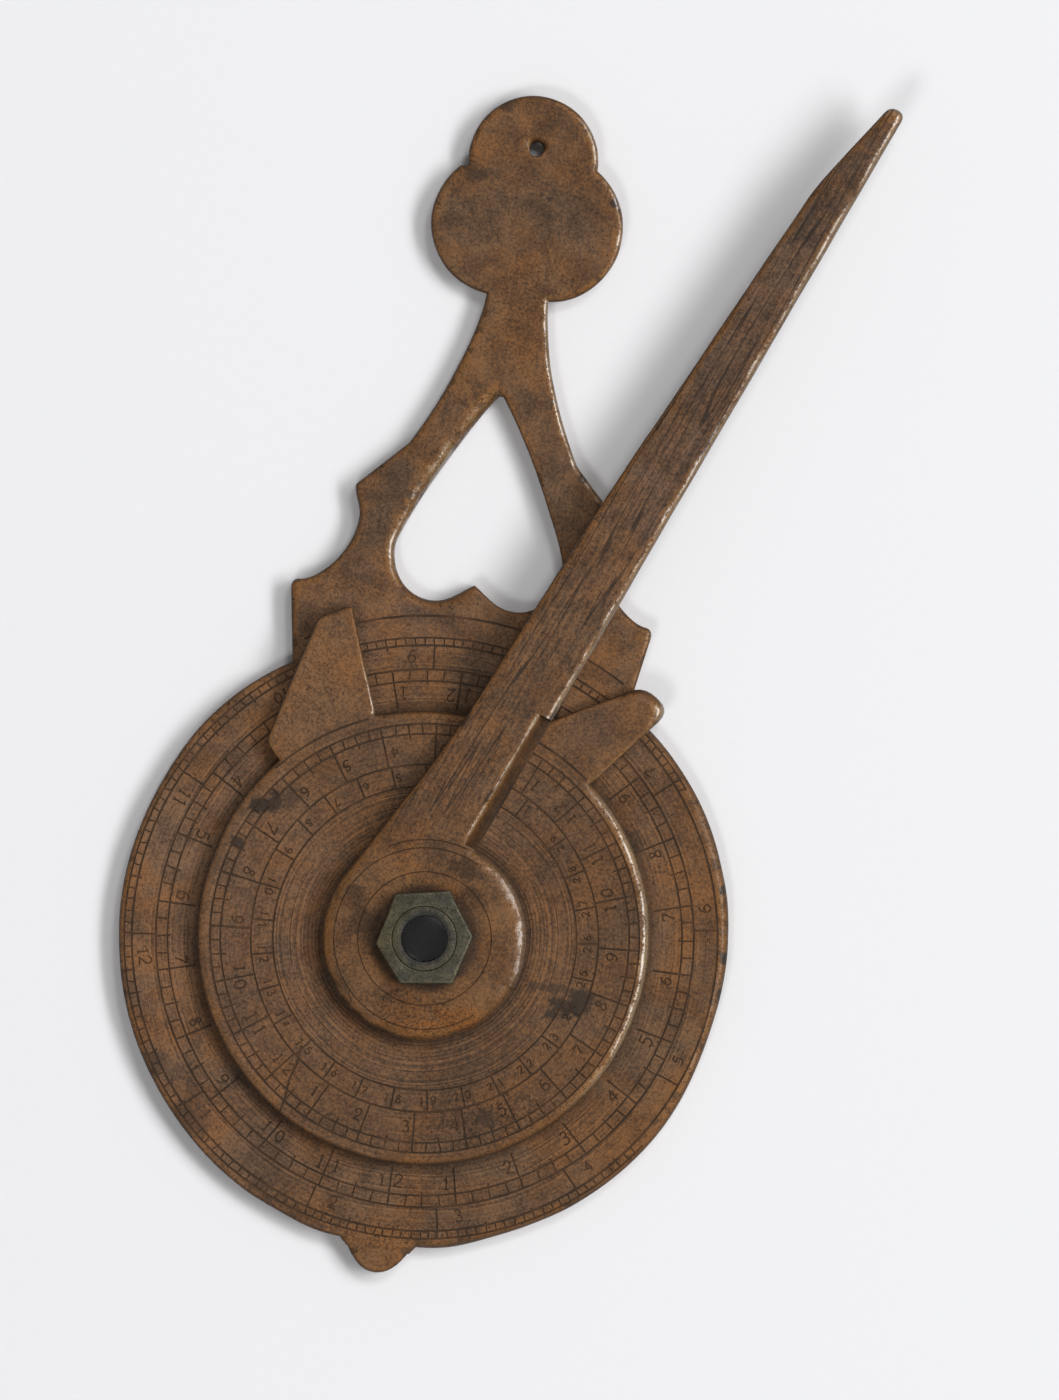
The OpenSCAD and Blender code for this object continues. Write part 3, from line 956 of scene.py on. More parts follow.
def arm_lines():
    """Paths that the cove bends along: its rows, the notch at its end and the hub's edge."""
    across = [s * COVE_SET for s in (1.0, 0.8, 0.6, 0.4, 0.2, 0.08)]
    across += [COVE_SET + s * COVE_LIP for s in (0.04, 0.15, 0.35, 0.65, 1.0)]
    rows = [np.array([[-x, y] for y in np.arange(HUB_R - 2, COVE_END, 1.2)]) for x in across]
    notch = [np.array([[-COVE_SET - 0.05, y], [-COVE_SET / 2, y], [0.0, y]])
             for y in (COVE_END - 0.03, COVE_END + 0.03)]
    hub = [polar(r, np.arange(-16, 8.1, 1.0)) for r in (HUB_R, HUB_R + 0.05)]
    return [turned(path, ARM_ANGLE) for path in rows + notch + hub]


def arm_marks():
    marks = ring(NUT_LINE, width=HUB_LINE_W) + ring(HUB_LINE, 140, 388, HUB_LINE_W)
    return marks + ring(BLADE_LINE, ARM_ANGLE - 52, ARM_ANGLE - 4, DAY_W)


def arm_edge(points, loop):
    """Broadly rounded along the reading edge and round the hub, less so along the back."""
    x, y = turned(points, -ARM_ANGLE).T
    reading = smooth_step(COVE_END - 0.5, COVE_END + 0.5, y) * smooth_step(-5.0, -1.5, x)
    on_hub = 1 - smooth_step(HUB_R - 0.5, HUB_R + 2.0, np.hypot(x, y))
    on_hub *= 0.3 + 0.7 * smooth_step(-14.0, 14.0, points[:, 0])
    in_cove = (x > -COVE_SET) & (y > 0) & (y < COVE_END)
    plain = np.where(in_cove, 0.2, 0.9)
    rim = plain + 0.5 * reading + 2.3 * on_hub, 0.8 * plain + 0.2 * reading + 1.0 * on_hub
    return by_loop(loop, rim, BORE_EDGE)


def arm_grit(points):
    """Rough round the hub and along the cove, and nearly smooth along the blade."""
    near = smooth_step(COVE_END + 4, COVE_END - 4, np.hypot(*points.T))
    return ARM_GRIT * (BLADE_GRIT + (1 - BLADE_GRIT) * near)


def make_arm(boxwood, ink):
    low, top = z_span("index_arm")
    loops = trace(
        [turned(blade(), ARM_ANGLE), circle(0, 0, HUB_R, 170)],
        [circle(0, 0, TUBE_R + RUNNING_CLEAR, 64)], FINE_OUTLINE)
    loops[0] = hand_cut(loops[0], ARM_WAVER, HUB_FLATS)
    piece = carve("coved_index_arm", loops, low, top, arm_edge, ARM_RUB, arm_marks(),
                  surface=arm_surface(top - low), lines=arm_lines(), worn_and_lit=cove_wear, foot=THIN_FOOT,
                  steps=FINE_STEPS, bevel=FLAT_BEVEL, grit=arm_grit)
    return dress(piece, "index_arm", "index_arm", "arm_wood", boxwood, ink)


# Pivot


# Width and fall of the nut's eased edges, outside and round its bore, and their rub
NUT_EDGE, NUT_BORE_EDGE = (0.7, 0.6), (0.2, 0.12)
NUT_RUB = (80, 0.3, 1.0)


def make_tube(brass):
    _, top = z_span("pivot_tube")
    soft, near = TUBE_SOFT, SOFT_SHARE * TUBE_SOFT
    piece = lathe("pivot_sleeve", [
        (SIGHT_R, soft), (SIGHT_R + soft, 0.0), (FLANGE_R - soft, 0.0), (FLANGE_R, soft),
        (FLANGE_R, FLANGE_T), (TUBE_R, FLANGE_T), (TUBE_R, top - soft), (TUBE_R - near, top - near),
        (TUBE_R - soft, top), (SIGHT_R + soft, top), (SIGHT_R + near, top - near), (SIGHT_R, top - soft),
    ])
    return dress(piece, "body", "pivot_tube", "pivot_brass", brass)


def nut_surface(thickness):
    """Flat top with a turned chamfer that bites into the corners."""
    def height(points):
        return thickness - NUT_CHAMFER_SLOPE * np.clip(np.hypot(*points.T) - NUT_CHAMFER_R, 0, None)

    return height


def nut_edge(points, loop):
    return by_loop(loop, NUT_EDGE, NUT_BORE_EDGE)


def make_nut(brass):
    low, top = z_span("hex_nut")
    outline = rounded([(*polar(reach, 90 - angle), NUT_ROUND) for angle, reach in NUT_CORNERS])
    loops = trace([outline], [circle(0, 0, TUBE_R + RUNNING_CLEAR, 96)])
    piece = carve("worn_hex_nut", loops, low, top, nut_edge, NUT_RUB, surface=nut_surface(top - low),
                  lines=[circle(0, 0, NUT_CHAMFER_R, 96)], foot=THIN_FOOT)
    return dress(piece, "hex_nut", "hex_nut", "pivot_brass", brass)


# Shader graphs


class Graph:
    """Adds nodes to one tree, so that a finish reads as a list of steps."""

    def __init__(self, tree):
        self.tree = tree
        tree.nodes.clear()

    def add(self, kind, inputs=None, **settings):
        node = self.tree.nodes.new("ShaderNode" + kind)
        for key, value in settings.items():
            setattr(node, key, value)
        for key, value in (inputs or {}).items():
            self.put(node.inputs[key], value)
        return node

    def put(self, socket, value):
        if isinstance(value, bpy.types.NodeSocket):
            self.tree.links.new(value, socket)
        else:
            socket.default_value = value

    def math(self, operation, *values, clamp=False):
        return self.add("Math", dict(enumerate(values)), operation=operation, use_clamp=clamp).outputs[0]

    def times(self, a, b):
        return self.math("MULTIPLY", a, b)

    def total(self, first, *others):
        for value in others:
            first = self.math("ADD", first, value)
        return first

    def lean(self, value, share):
        """A value from 0 to 1 as a push either way from its middle."""
        return self.times(self.math("SUBTRACT", value, 0.5), share)

    def vector(self, operation, *values):
        return self.add("VectorMath", dict(enumerate(values)), operation=operation).outputs[0]

    def scaled(self, place, factor):
        return self.add("VectorMath", {0: place, 3: factor}, operation="SCALE").outputs[0]

    def radius(self, place):
        """A place's distance from the Z axis."""
        flat = self.vector("MULTIPLY", place, (1.0, 1.0, 0.0))
        return self.add("VectorMath", {0: flat}, operation="LENGTH").outputs["Value"]

    def trait(self, name):
        """What a mesh says of each of its points."""
        return self.add("Attribute", attribute_name=name).outputs["Fac"]

    def noise(self, place, scale, detail=3.0, rough=0.55, bend=0.0):
        return self.add("TexNoise", {"Vector": place, "Scale": scale, "Detail": detail, "Roughness": rough,
                                     "Distortion": bend}).outputs["Fac"]

    def span(self, value, low, high, to_low=0.0, to_high=1.0):
        """Value mapped smoothly from one range to another."""
        node = self.add("MapRange", {"Value": value, "From Min": low, "From Max": high, "To Min": to_low,
                                     "To Max": to_high}, interpolation_type="SMOOTHSTEP")
        return node.outputs["Result"]

    def mix(self, share, a, b, blend="MIX"):
        node = self.add("Mix", {0: share, 6: a, 7: b}, data_type="RGBA", blend_type=blend)
        return node.outputs[2]

    def mix_value(self, share, a, b):
        return self.add("Mix", {0: share, 2: a, 3: b}, data_type="FLOAT").outputs[0]

    def over(self, colour, mask, share, tint):
        """A colour with a share of another over it, where the mask says."""
        return self.mix(self.math("MULTIPLY", mask, share, clamp=True), colour, (*tint, 1))

    def ramp(self, value, *stops):
        node = self.add("ValToRGB", {"Fac": value})
        elements = node.color_ramp.elements
        for element, (at, colour) in zip(elements, stops):
            element.position, element.color = at, (*colour, 1)
        for at, colour in stops[2:]:
            elements.new(at).color = (*colour, 1)
        return node.outputs["Color"]

    def group(self, tree, inputs):
        return self.add("Group", inputs, node_tree=tree).outputs


def new_group(name, outputs, **inputs):
    """An empty shader group: its graph, its inputs, and a function that sets its outputs.

    An input is a number if its default is one, and otherwise a vector.
    """
    tree = bpy.data.node_groups.new(name, "ShaderNodeTree")
    graph = Graph(tree)
    for key, value in inputs.items():
        kind = "NodeSocketFloat" if isinstance(value, float) else "NodeSocketVector"
        socket = tree.interface.new_socket(name=key, in_out="INPUT", socket_type=kind)
        if value is not None:
            socket.default_value = value
    for key in outputs:
        tree.interface.new_socket(name=key, in_out="OUTPUT", socket_type="NodeSocketFloat")
    given = tree.nodes.new("NodeGroupInput")
    result = tree.nodes.new("NodeGroupOutput")

    def give(**values):
        for key, value in values.items():
            tree.links.new(value, result.inputs[key])

    return graph, given.outputs, give


def patina_group():
    """Marks of age: blotches, broad clouds, flecks, clean places in the film, dark stains and pores."""
    g, given, give = new_group("patina", ["Blotch", "Cloud", "Fleck", "Clean", "Stain", "Pores"],
                               Place=None, Size=5.0)
    place = given["Place"]
    sized = g.scaled(place, g.math("DIVIDE", 1.0, given["Size"]))
    give(Blotch=g.span(g.noise(sized, 1.0, 6.0, 0.7, 0.5), 0.32, 0.68),
         Cloud=g.span(g.noise(sized, 0.22, 2.0), 0.33, 0.67),
         Fleck=g.span(g.noise(place, 1.6, 3.0, 0.75), 0.3, 0.7),
         Clean=g.span(g.noise(sized, 0.45, 7.0, 0.68, 0.4), 0.38, 0.64),
         Stain=g.span(g.noise(sized, 0.55, 6.0, 0.72, 0.8), 0.58, 0.74),
         Pores=g.span(g.noise(place, 2.1, 1.0, 0.5), 0.63, 0.72))
    return g.tree


def grain_group():
    """Long grain along the place's Y axis: soft streaks, short dark dashes and a few long scratches."""
    g, given, give = new_group("long_grain", ["Streaks", "Dashes", "Scratches"], Place=None, Along=30.0)
    along = g.math("DIVIDE", 1.0, given["Along"])

    def stretched(across, share):
        scale = g.add("CombineXYZ", {"X": 1 / across, "Y": g.times(along, share), "Z": 1 / across})
        return g.vector("MULTIPLY", given["Place"], scale.outputs[0])

    wander = g.noise(stretched(2.6, 0.3), 1.0, 1.0)
    give(Streaks=g.span(g.noise(stretched(0.9, 1.0), 1.0, 3.0, 0.6, 0.3), 0.3, 0.7),
         Dashes=g.span(g.noise(stretched(0.45, 14.0), 1.0, 2.0, 0.6), 0.56, 0.68),
         Scratches=g.span(g.math("ABSOLUTE", g.math("SUBTRACT", wander, 0.5)), 0.022, 0.004))
    return g.tree


def lathe_group():
    """Fine rings left by the lathe round the pivot, between two radii; 0.5 where there are none."""
    g, given, give = new_group("lathe_rings", ["Rings"], Place=None, Pitch=0.6, Inner=0.0, Outer=50.0)
    place = given["Place"]
    radius = g.radius(place)
    drift = g.times(g.noise(place, 0.035, 1.0), 3.0)
    sweep = g.total(g.math("DIVIDE", radius, given["Pitch"]), drift)
    lines = g.add("TexNoise", {"W": sweep, "Scale": 1.0, "Detail": 3.0, "Roughness": 0.7},
                  noise_dimensions="1D").outputs["Fac"]
    inside = g.span(g.math("SUBTRACT", radius, given["Inner"]), 0.0, 0.6)
    inside = g.times(inside, g.span(g.math("SUBTRACT", given["Outer"], radius), 0.0, 0.6))
    patchy = g.span(g.noise(place, 0.09, 3.0, 0.6), 0.3, 0.6, 0.25, 1.0)
    give(Rings=g.total(g.lean(g.span(lines, 0.3, 0.7), g.times(inside, patchy)), 0.5))
    return g.tree


def spot_group():
    """A spot at one place, its edge torn by a given amount."""
    g, given, give = new_group("ragged_spot", ["Mask"], Place=None, Centre=None, Reach=(1, 1, 1), Torn=0.0)
    offset = g.vector("DIVIDE", g.vector("SUBTRACT", given["Place"], given["Centre"]), given["Reach"])
    give(Mask=g.span(g.total(g.radius(offset), given["Torn"]), 1.0, 0.5))
    return g.tree


def dirt_group():
    """Painted shade, partly real dirt, where the wood meets the next layer, from an inner radius out to
    where it fades.
    """
    g, given, give = new_group("painted_shade_and_dirt", ["Dirt"], Place=None, Inner=1.0, Outer=2.0)
    uneven = g.lean(g.noise(given["Place"], 0.12, 3.0, 0.6), 2.0)
    radius = g.total(g.radius(given["Place"]), uneven)
    give(Dirt=g.span(radius, given["Outer"], given["Inner"]))
    return g.tree


def rub_group():
    """Edges rubbed by handling, bare in places, with dark pits and chips. The bare parts carry a painted
    highlight, and the outer slope and the walls below are darkened by dirt and painted shade.
    """
    g, given, give = new_group("edge_rub", ["Rub", "Bare", "Grain", "Pits", "Dirt"],
                               Place=None, Inward=0.0, Chipped=0.5, Torn=1.6)
    place, inward, chipped = given["Place"], given["Inward"], given["Chipped"]
    grain = g.noise(place, 1.8, 3.0, 0.65)
    ragged = g.lean(grain, given["Torn"])
    uneven = g.lean(g.noise(place, 0.22, 4.0, 0.65), 1.8)
    torn = g.total(uneven, ragged, inward)
    patchy = g.span(g.noise(place, 0.085, 2.0), 0.35, 0.6, 0.3, 1.0)
    rub = g.times(g.span(torn, 1.5, 0.5), patchy)
    broken = g.span(g.noise(place, 0.2, 4.0, 0.7), 0.38, 0.6)
    bare_and_highlight = g.times(g.span(torn, 0.95, 0.3), g.mix_value(chipped, 1.0, broken))
    chips = g.times(g.span(g.noise(place, 0.42, 3.0, 0.6), 0.54, 0.62), g.span(inward, 1.5, 0.7))
    pits = g.math("MAXIMUM", g.times(g.span(grain, 0.56, 0.66), rub), g.times(chips, chipped))
    # Painted shade with real dirt: darkest at the outermost edge and down the walls.
    dirt_and_shade = g.span(g.total(inward, g.times(ragged, 0.5)), 0.4, 0.1)
    give(Rub=rub, Bare=bare_and_highlight, Grain=grain, Pits=pits, Dirt=dirt_and_shade)
    return g.tree


PATINA, GRAIN, LATHE = patina_group(), grain_group(), lathe_group()
SPOT, SHADE_AND_DIRT, RUB = spot_group(), dirt_group(), rub_group()

# Colours of the wood, from the dirtiest to the brightest, and of what lies on it
DIRTY_WOOD = (0.052, 0.027, 0.014)
DULL_WOOD = (0.100, 0.050, 0.025)
WARM_WOOD = (0.146, 0.072, 0.034)
BRIGHT_WOOD = (0.220, 0.106, 0.047)
RUBBED_WOOD = (0.225, 0.096, 0.026)
# Pale bare wood, laid only on edges facing the lamp: real wear and a painted highlight.
BARE_WOOD_HIGHLIGHT = (0.47, 0.32, 0.155)
# Dark grime, laid both as real grime in pores and pits and as painted shade.
GRIME_AND_SHADE = (0.018, 0.012, 0.008)
STAIN = (0.036, 0.023, 0.015)
INK = (0.036, 0.023, 0.014)
FILM_TINT = (0.90, 1.02, 1.12)
CLEAN_TINT = (1.13, 0.99, 0.68)
EVEN_TINT = (1.03, 0.995, 0.88)
HUB_GLOW = (1.0, 0.93, 0.77)
RIM_GLOW = (1.4, 1.22, 0.88)
RUST = (1.22, 0.98, 0.6)
DRY_GREY = (0.90, 0.98, 1.22)
PALE_FILM = (1.08, 1.10, 1.20)

# Shares of clouds and flecks in the wood's tone, and the stretch over which its long grain comes in
CLOUD_SHARE, FLECK_SHARE, GRAIN_FADE = 0.17, 0.6, 14.0

# Colours of the brass, from the darkest to the palest, and of what lies on it
BRASS_DARK = (0.021, 0.019, 0.012)
BRASS_OLIVE = (0.044, 0.038, 0.022)
BRASS_PALE = (0.090, 0.073, 0.034)
# Pale rubbed brass for the nut's edges: real rub and a painted highlight.
BRASS_RUBBED_HIGHLIGHT = (0.20, 0.18, 0.11)
BRASS_PORES = (0.014, 0.013, 0.011)
BRASS_STAIN = (0.020, 0.020, 0.018)
# Dark dirt with painted shade for the nut's outer edges.
BRASS_DIRT_AND_SHADE = (0.012, 0.010, 0.008)
BORE_PAINTED_SHADE = (0.008, 0.008, 0.008)
YELLOWED = (1.25, 1.16, 0.72)


def new_material(name):
    """A material, its graph and the place on the surface in millimetres."""
    material = bpy.data.materials.new(name)
    material.use_nodes = True
    graph = Graph(material.node_tree)
    place = graph.scaled(graph.add("TexCoord").outputs["Object"], 1 / MM)
    return material, graph, place


def ragged_spot(g, place, centre, reach, torn):
    inputs = {"Place": place, "Centre": (*centre, 0), "Reach": (*reach, 1), "Torn": torn}
    return g.group(SPOT, inputs)["Mask"]


def shade(graph, bump, **values):
    """The shader and its output, with a bump of a height given in millimetres."""
    shader = graph.add("BsdfPrincipled")
    for key, value in values.items():
        graph.put(shader.inputs[key.replace("_", " ")], value)
    relief = graph.add("Bump", {"Height": bump, "Strength": 1.0, "Distance": MM})
    graph.put(shader.inputs["Normal"], relief.outputs["Normal"])
    graph.add("OutputMaterial", {"Surface": shader.outputs["BSDF"]})


def wood(name, tone, filmed, blotches, grain, turned_zones, pitted, chipped, torn=1.6, dirt_and_shade=(), stains=(),
         patches=(), tints=(), pocks=(), seed=0.0):
    """Old waxed boxwood.

    tone shifts it between dirty and bright. filmed says how unevenly a grey film lies on it. blotches is
    the size and the strength of its blotches. grain is the direction and the strength of the long grain,
    and the radius from which it shows. turned_zones hold (inner, outer, strength) of the lathe's rings, and
    so do the rings of painted shade against the next layer, which are partly real dirt. pitted, chipped and
    torn say how rough the rubbed edges are. stains, patches, tints and pocks are spots: each has its angle,
    its radius and its reach across and along the handle, and then its strength, its change of tone, its
    tint or the strength of its small pits.
    """
    material, g, place = new_material(name)
    moved = g.vector("ADD", place, (seed, 1.7 * seed, 0.6 * seed))
    blotch_size, blotch_share = blotches
    patina = g.group(PATINA, {"Place": moved, "Size": blotch_size})
    grain_turn, grain_share, grain_from = grain
    grainy = g.span(g.radius(place), grain_from, grain_from + GRAIN_FADE)
    lengthways = g.add("VectorRotate", {"Vector": moved, "Angle": math.radians(grain_turn)},
                       rotation_type="Z_AXIS").outputs[0]
    fibre = g.group(GRAIN, {"Place": lengthways})
    rub = g.group(RUB, {"Place": moved, "Inward": g.trait("inward"), "Chipped": chipped, "Torn": torn})
    ragged = g.lean(g.noise(place, 0.5, 4.0, 0.68), 2.4)
    uneven = g.times(ragged, 0.5)

    def spot(where, edge=uneven):
        angle, radius, *reach = where
        return ragged_spot(g, place, polar(radius, angle), reach, edge)

    rings = [g.lean(g.group(LATHE, {"Place": place, "Inner": inner, "Outer": outer})["Rings"], share)
             for inner, outer, share in turned_zones]
    shifts = [g.times(spot(where), shift) for *where, shift in patches]
    streaks = g.times(g.lean(fibre["Streaks"], 0.6 * grain_share), grainy)
    tones = g.total(tone, g.lean(patina["Blotch"], blotch_share), g.lean(patina["Cloud"], CLOUD_SHARE),
                    g.lean(patina["Fleck"], FLECK_SHARE), streaks, *rings, *shifts)
    colour = g.ramp(tones, (0.0, DIRTY_WOOD), (1.0, BRIGHT_WOOD), (0.36, DULL_WOOD), (0.62, WARM_WOOD))
    film = g.mix(patina["Clean"], (*FILM_TINT, 1), (*CLEAN_TINT, 1))
    colour = g.mix(1.0, colour, g.mix(filmed, (*EVEN_TINT, 1), film), "MULTIPLY")
    for *where, tint in tints:
        colour = g.mix(spot(where), colour, (*tint, 1), "MULTIPLY")

    # Rub and pale bare wood grow on edges facing the lamp: real wear with a painted highlight.
    handled_and_lit = g.trait("rubbed_and_lit")
    rubbed_and_lit = g.times(rub["Rub"], handled_and_lit)
    bare_and_highlight = g.times(rub["Bare"], g.span(handled_and_lit, 0.88, 1.0))
    pits = rub["Pits"]
    for *where, share in pocks:
        small = g.times(g.span(rub["Grain"], 0.51, 0.63), spot(where))
        pits = g.math("MAXIMUM", pits, g.times(small, share))
    layers = [
        (rubbed_and_lit, 1.0, RUBBED_WOOD),
        (bare_and_highlight, 0.7 - 0.4 * pitted, BARE_WOOD_HIGHLIGHT),
        (patina["Stain"], 0.14, STAIN),
        (patina["Pores"], 0.5, GRIME_AND_SHADE),
        (g.times(fibre["Dashes"], grainy), 0.8 * grain_share, GRIME_AND_SHADE),
        (g.times(fibre["Scratches"], grainy), 1.2 * grain_share, GRIME_AND_SHADE),
        (pits, 0.7, GRIME_AND_SHADE),
    ]
    # Rings of painted shade, partly real dirt, against the next layer.
    layers += [(g.group(SHADE_AND_DIRT, {"Place": place, "Inner": inner, "Outer": outer})["Dirt"], share, GRIME_AND_SHADE)
               for inner, outer, share in dirt_and_shade]
    layers += [(spot(where, ragged), share, STAIN) for *where, share in stains]
    # Painted shade with real dirt at the outer edges and walls, then the ink-darkened lips and the darkened
    # hollow.
    layers += [(rub["Dirt"], 0.6, GRIME_AND_SHADE), (g.trait("darkening"), 1.0, GRIME_AND_SHADE)]
    for layer in layers:
        colour = g.over(colour, *layer)

    bump = g.total(g.lean(patina["Fleck"], 0.022), g.lean(patina["Pores"], -0.04),
                   g.lean(fibre["Dashes"], -0.06 * grain_share),
                   g.lean(fibre["Streaks"], 0.04 * grain_share), g.lean(pits, -0.1),
                   g.times(g.lean(rub["Grain"], -0.25 * pitted), rub["Rub"]),
                   *[g.times(zone, 0.06) for zone in rings])
    rough = g.total(0.5, g.lean(patina["Blotch"], -0.1), g.times(rubbed_and_lit, -0.14))
    wax = g.span(bare_and_highlight, 0.0, 0.8, 0.03, 1.0)
    shade(g, bump, Base_Color=colour, Roughness=rough, Specular_IOR_Level=0.2, Coat_Weight=wax,
          Coat_Roughness=0.2, Coat_IOR=1.9)
    return material


def ink_material():
    """Ink and dirt in the engraved lines, rubbed thin in places."""
    material, g, place = new_material("engraved_ink")
    thin = g.span(g.noise(place, 0.16, 4.0, 0.7), 0.4, 0.68)
    colour = g.over((*INK, 1), thin, 0.8, DULL_WOOD)
    shade(g, g.times(g.noise(place, 3.0), 0.05), Base_Color=colour, Roughness=0.7, Specular_IOR_Level=0.2)
    return material


def brass_material():
    """Brass gone dark olive: rubbed and painted lighter as a highlight at its edges, darkened there by dirt
    and painted shade, and painted black inside the bore as shade.
    """
    material, g, place = new_material("tarnished_brass")
    patina = g.group(PATINA, {"Place": place, "Size": 2.6})
    rub = g.group(RUB, {"Place": place, "Inward": g.trait("inward")})
    # Painted shade: the bore's wall is made black.
    bore_shade = g.group(SHADE_AND_DIRT, {"Place": place, "Inner": SIGHT_R, "Outer": SIGHT_R + 1.4})
    tone = g.total(g.times(patina["Blotch"], 0.6), g.times(patina["Fleck"], 0.35))
    colour = g.ramp(tone, (0.0, BRASS_DARK), (1.0, BRASS_PALE), (0.5, BRASS_OLIVE))
    yellow = ragged_spot(g, place, (-9.0, 0.0), (7.0, 9.0), g.lean(patina["Blotch"], 1.0))
    colour = g.mix(yellow, colour, (*YELLOWED, 1), "MULTIPLY")
    for mask, share, tint in ((rub["Bare"], 0.7, BRASS_RUBBED_HIGHLIGHT), (patina["Pores"], 0.6, BRASS_PORES),
                              (patina["Stain"], 0.5, BRASS_STAIN), (rub["Dirt"], 0.8, BRASS_DIRT_AND_SHADE),
                              (bore_shade["Dirt"], 0.85, BORE_PAINTED_SHADE)):
        colour = g.over(colour, mask, share, tint)
    metal = g.span(rub["Bare"], 0.0, 1.0, 0.25, 0.6)
    rough = g.span(patina["Blotch"], 0.0, 1.0, 0.62, 0.46)
    bump = g.total(g.times(patina["Fleck"], 0.05), g.times(patina["Pores"], -0.06))
    shade(g, bump, Base_Color=colour, Metallic=metal, Roughness=rough)
    return material


# Stage


def make_floor():
    bpy.ops.mesh.primitive_plane_add(size=FLOOR_SIZE, location=(0, 0, -FLOOR_DEPTH))
    floor = bpy.context.object
    floor.name = "paper_floor"
    material, g, place = new_material("white_paper")
    tooth = g.noise(place, 0.6, 4.0)
    colour = g.mix(tooth, (*PAPER_DARK, 1), (*PAPER_LIGHT, 1))
    shade(g, g.times(tooth, 0.01), Base_Color=colour, Roughness=0.9, Specular_IOR_Level=0.1)
    floor.data.materials.append(material)


def picture_axes():
    """The picture's right and up directions, in the plane of the dial."""
    right = polar(1.0, 90 - HANDLE_TURN)
    up = polar(1.0, -HANDLE_TURN)
    return Vector((*right, 0)), Vector((*up, 0))


def placed(at, right, up, back):
    """A place and a turn, from the directions of an object's three axes."""
    return Matrix.Translation(at) @ Matrix((right, up, back)).transposed().to_4x4()


def make_camera():
    """Straight overhead, turned so that the handle leans as in the picture."""
    right, up = picture_axes()
    scale = DIAL_R * MM / DIAL_R_PX
    camera = bpy.data.objects.new("camera", bpy.data.cameras.new("camera"))
    bpy.context.scene.collection.objects.link(camera)
    camera.data.lens = LENS
    camera.data.sensor_width = SENSOR
    height = FRAME_H_PX * scale * LENS / SENSOR
    centre = right * (FRAME_W_PX / 2 - PIVOT_PX[0]) * scale + up * (PIVOT_PX[1] - FRAME_H_PX / 2) * scale
    _, plate_top = z_span("body_plate")
    over_plate = Vector((0, 0, height + plate_top * MM))
    camera.matrix_world = placed(centre + over_plate, right, up, Vector((0, 0, 1)))
    bpy.context.scene.camera = camera
    return centre


def make_lamp(name, centre, direction, across, along, energy):
    """A rectangular lamp, its long side level."""
    lamp = bpy.data.lights.new(name, "AREA")
    lamp.shape = "RECTANGLE"
    lamp.size = along
    lamp.size_y = across
    lamp.energy = energy
    level = Vector((0, 0, 1)).cross(direction).normalized()
    holder = bpy.data.objects.new(name, lamp)
    place = centre + direction * LAMP_DISTANCE
    holder.matrix_world = placed(place, level, direction.cross(level), direction)
    bpy.context.scene.collection.objects.link(holder)


def lamp_direction(slant, turn):
    """Direction to a lamp, from its angle from overhead and its turn clockwise from the picture's top."""
    right, up = picture_axes()
    slant, turn = math.radians(slant), math.radians(turn)
    flat = right * math.sin(turn) + up * math.cos(turn)
    return flat * math.sin(slant) + Vector((0, 0, math.cos(slant)))


def make_lights(centre):
    """A broad soft light from the right, a narrower one in it for gloss, two fills and even light."""
    key = lamp_direction(KEY_SLANT, KEY_TURN)
    make_lamp("soft_key", centre, key, *SOFT_KEY)
    make_lamp("gloss_key", centre, key, *GLOSS_KEY)
    for name, turn in FILL_TURNS.items():
        make_lamp(name, centre, lamp_direction(FILL_SLANT, turn), *FILL)

    world = bpy.data.worlds.new("studio")
    bpy.context.scene.world = world
    world.use_nodes = True
    g = Graph(world.node_tree)
    even = g.add("Background", {"Color": (1, 1, 1, 1), "Strength": AMBIENT})
    g.add("OutputWorld", {"Surface": even.outputs[0]})
    bpy.context.scene.view_settings.view_transform = "Standard"


make_floor()
make_lights(make_camera())

ink = ink_material()
brass = brass_material()
plate_wood = wood(
    "plate_boxwood", tone=0.55, filmed=0.8, blotches=(7.0, 0.56), grain=(0, 0.12, 62),
    turned_zones=[(45, 57, 0.55)], pitted=0.35, chipped=0.8, seed=23.0,
    # The ring below is painted shade on the plate round the hour disc's edge.
    dirt_and_shade=[(44.0, 47.0, 0.35)],
    stains=[(86, 59.2, 1.4, 1.6, 1.0), (93, 59.3, 1.2, 2.2, 0.8), (73, 59.2, 1.0, 1.4, 0.9),
            (1.5, 147.2, 0.8, 0.6, 0.9), (0.9, 147.7, 0.6, 0.5, 0.8), (-4.5, 150.6, 3.4, 2.4, 0.6),
            (224, 58.8, 5.5, 4.5, 0.5), (236, 59.2, 3.0, 5.0, 0.5), (199, 59.8, 7.0, 2.6, 0.4),
            (-2.6, 164.6, 3.6, 1.8, 0.7), (6.3, 149.0, 1.0, 1.1, 0.9), (4.2, 161.5, 1.2, 2.6, 0.6)],
    # The patch at 80 degrees lightens the right of the hour band: a painted sheen.
    patches=[(0, 118, 9, 18, 0.05), (80, 49, 7, 16, 0.1), (262, 52, 16, 34, 0.08)],
    pocks=[(180, 58.5, 44, 5, 0.6), (2, 125, 12, 26, 0.4), (0, 151, 22, 20, 0.25)],
    tints=[(255, 52, 34, 62, PALE_FILM), (-15, 66, 24, 12, PALE_FILM)])
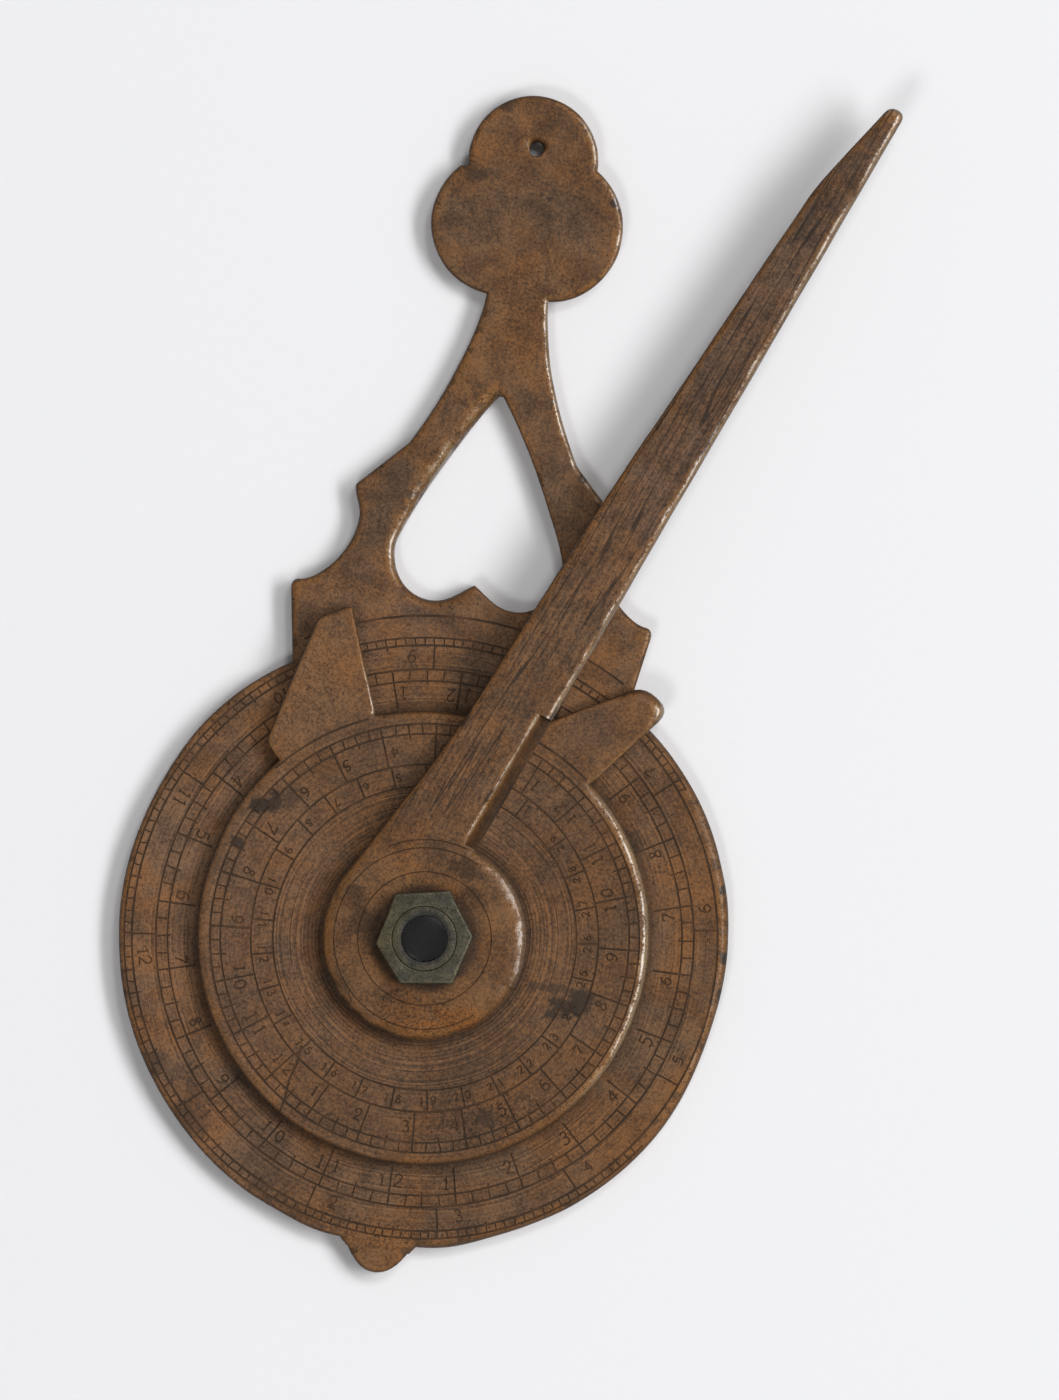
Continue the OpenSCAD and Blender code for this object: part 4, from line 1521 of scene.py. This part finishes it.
disc_wood = wood(
    "disc_boxwood", tone=0.53, filmed=0.55, blotches=(5.0, 0.34), grain=(60, 0.0, 0),
    turned_zones=[(20, 30, 0.75), (30, 44, 0.25)], pitted=0.4, chipped=0.3, seed=17.0,
    # The ring below is real dirt with painted shade round the foot of the arm's hub.
    dirt_and_shade=[(19.6, 22.6, 0.5)],
    stains=[(104.5, 33.0, 3.6, 3.2, 0.9), (107.5, 30.6, 3.6, 2.4, 0.9), (104, 26.0, 5.4, 1.3, 0.6),
            (113, 28.7, 1.6, 1.6, 0.9), (301, 41.8, 2.6, 1.9, 1.0), (304, 40.0, 2.1, 3.0, 0.9),
            (308, 37.8, 1.7, 3.0, 0.5), (289, 41.4, 2.5, 1.5, 0.9), (153, 37.2, 2.1, 2.4, 0.7)],
    # The patch at 95 degrees lightens the right of the plain ring: a painted sheen.
    patches=[(-33, 55, 14, 16, 0.36), (95, 26, 5, 14, 0.16), (140, 37, 26, 22, -0.07),
             (172, 35, 14, 10, -0.09), (64, 34, 16, 12, -0.09)],
    pocks=[(-33, 57, 14, 16, 0.6), (48, 55, 10, 12, 0.4), (145, 42, 30, 10, 0.6), (5, 43.6, 14, 4, 0.6)],
    tints=[(262, 36, 22, 40, PALE_FILM)])
arm_wood = wood(
    "arm_boxwood", tone=0.56, filmed=0.6, blotches=(5.0, 0.4), grain=(ARM_ANGLE, 0.65, 17),
    turned_zones=[], pitted=0.75, chipped=0.35, torn=0.9, seed=41.0,
    # The ring below is painted shade round the foot of the nut.
    dirt_and_shade=[(9.4, 11.4, 0.7)],
    stains=[(1, 45.0, 2.5, 3.8, 0.8)],
    patches=[(ARM_ANGLE, 150, 40, 60, -0.08), (262, 15, 7, 12, -0.08),
             (26, 16.5, 5, 3, -0.5), (42, 12.0, 4, 3, -0.4), (277, 12.6, 4, 4, -0.5),
             (292, 16.5, 4, 3, -0.4), (196, 12.5, 5, 2, -0.3), (329, 15.5, 8, 4, 0.3),
             (63, 15.4, 6, 4, 0.24), (130, 15.4, 8, 5, 0.2), (231, 13.0, 5, 4, 0.2)],
    pocks=[(172, 16, 17, 8, 0.7), (-20, 14, 12, 8, 0.4)],
    tints=[(0, 0, 26, 26, HUB_GLOW), (160, 19.4, 16, 3.0, RIM_GLOW), (146, 17.8, 9, 3.0, RUST),
           (ARM_ANGLE, 130, 70, 70, DRY_GREY)])

make_plate(plate_wood, ink)
make_hour_disc(disc_wood, ink)
make_arm(arm_wood, ink)
make_tube(brass)
make_nut(brass)
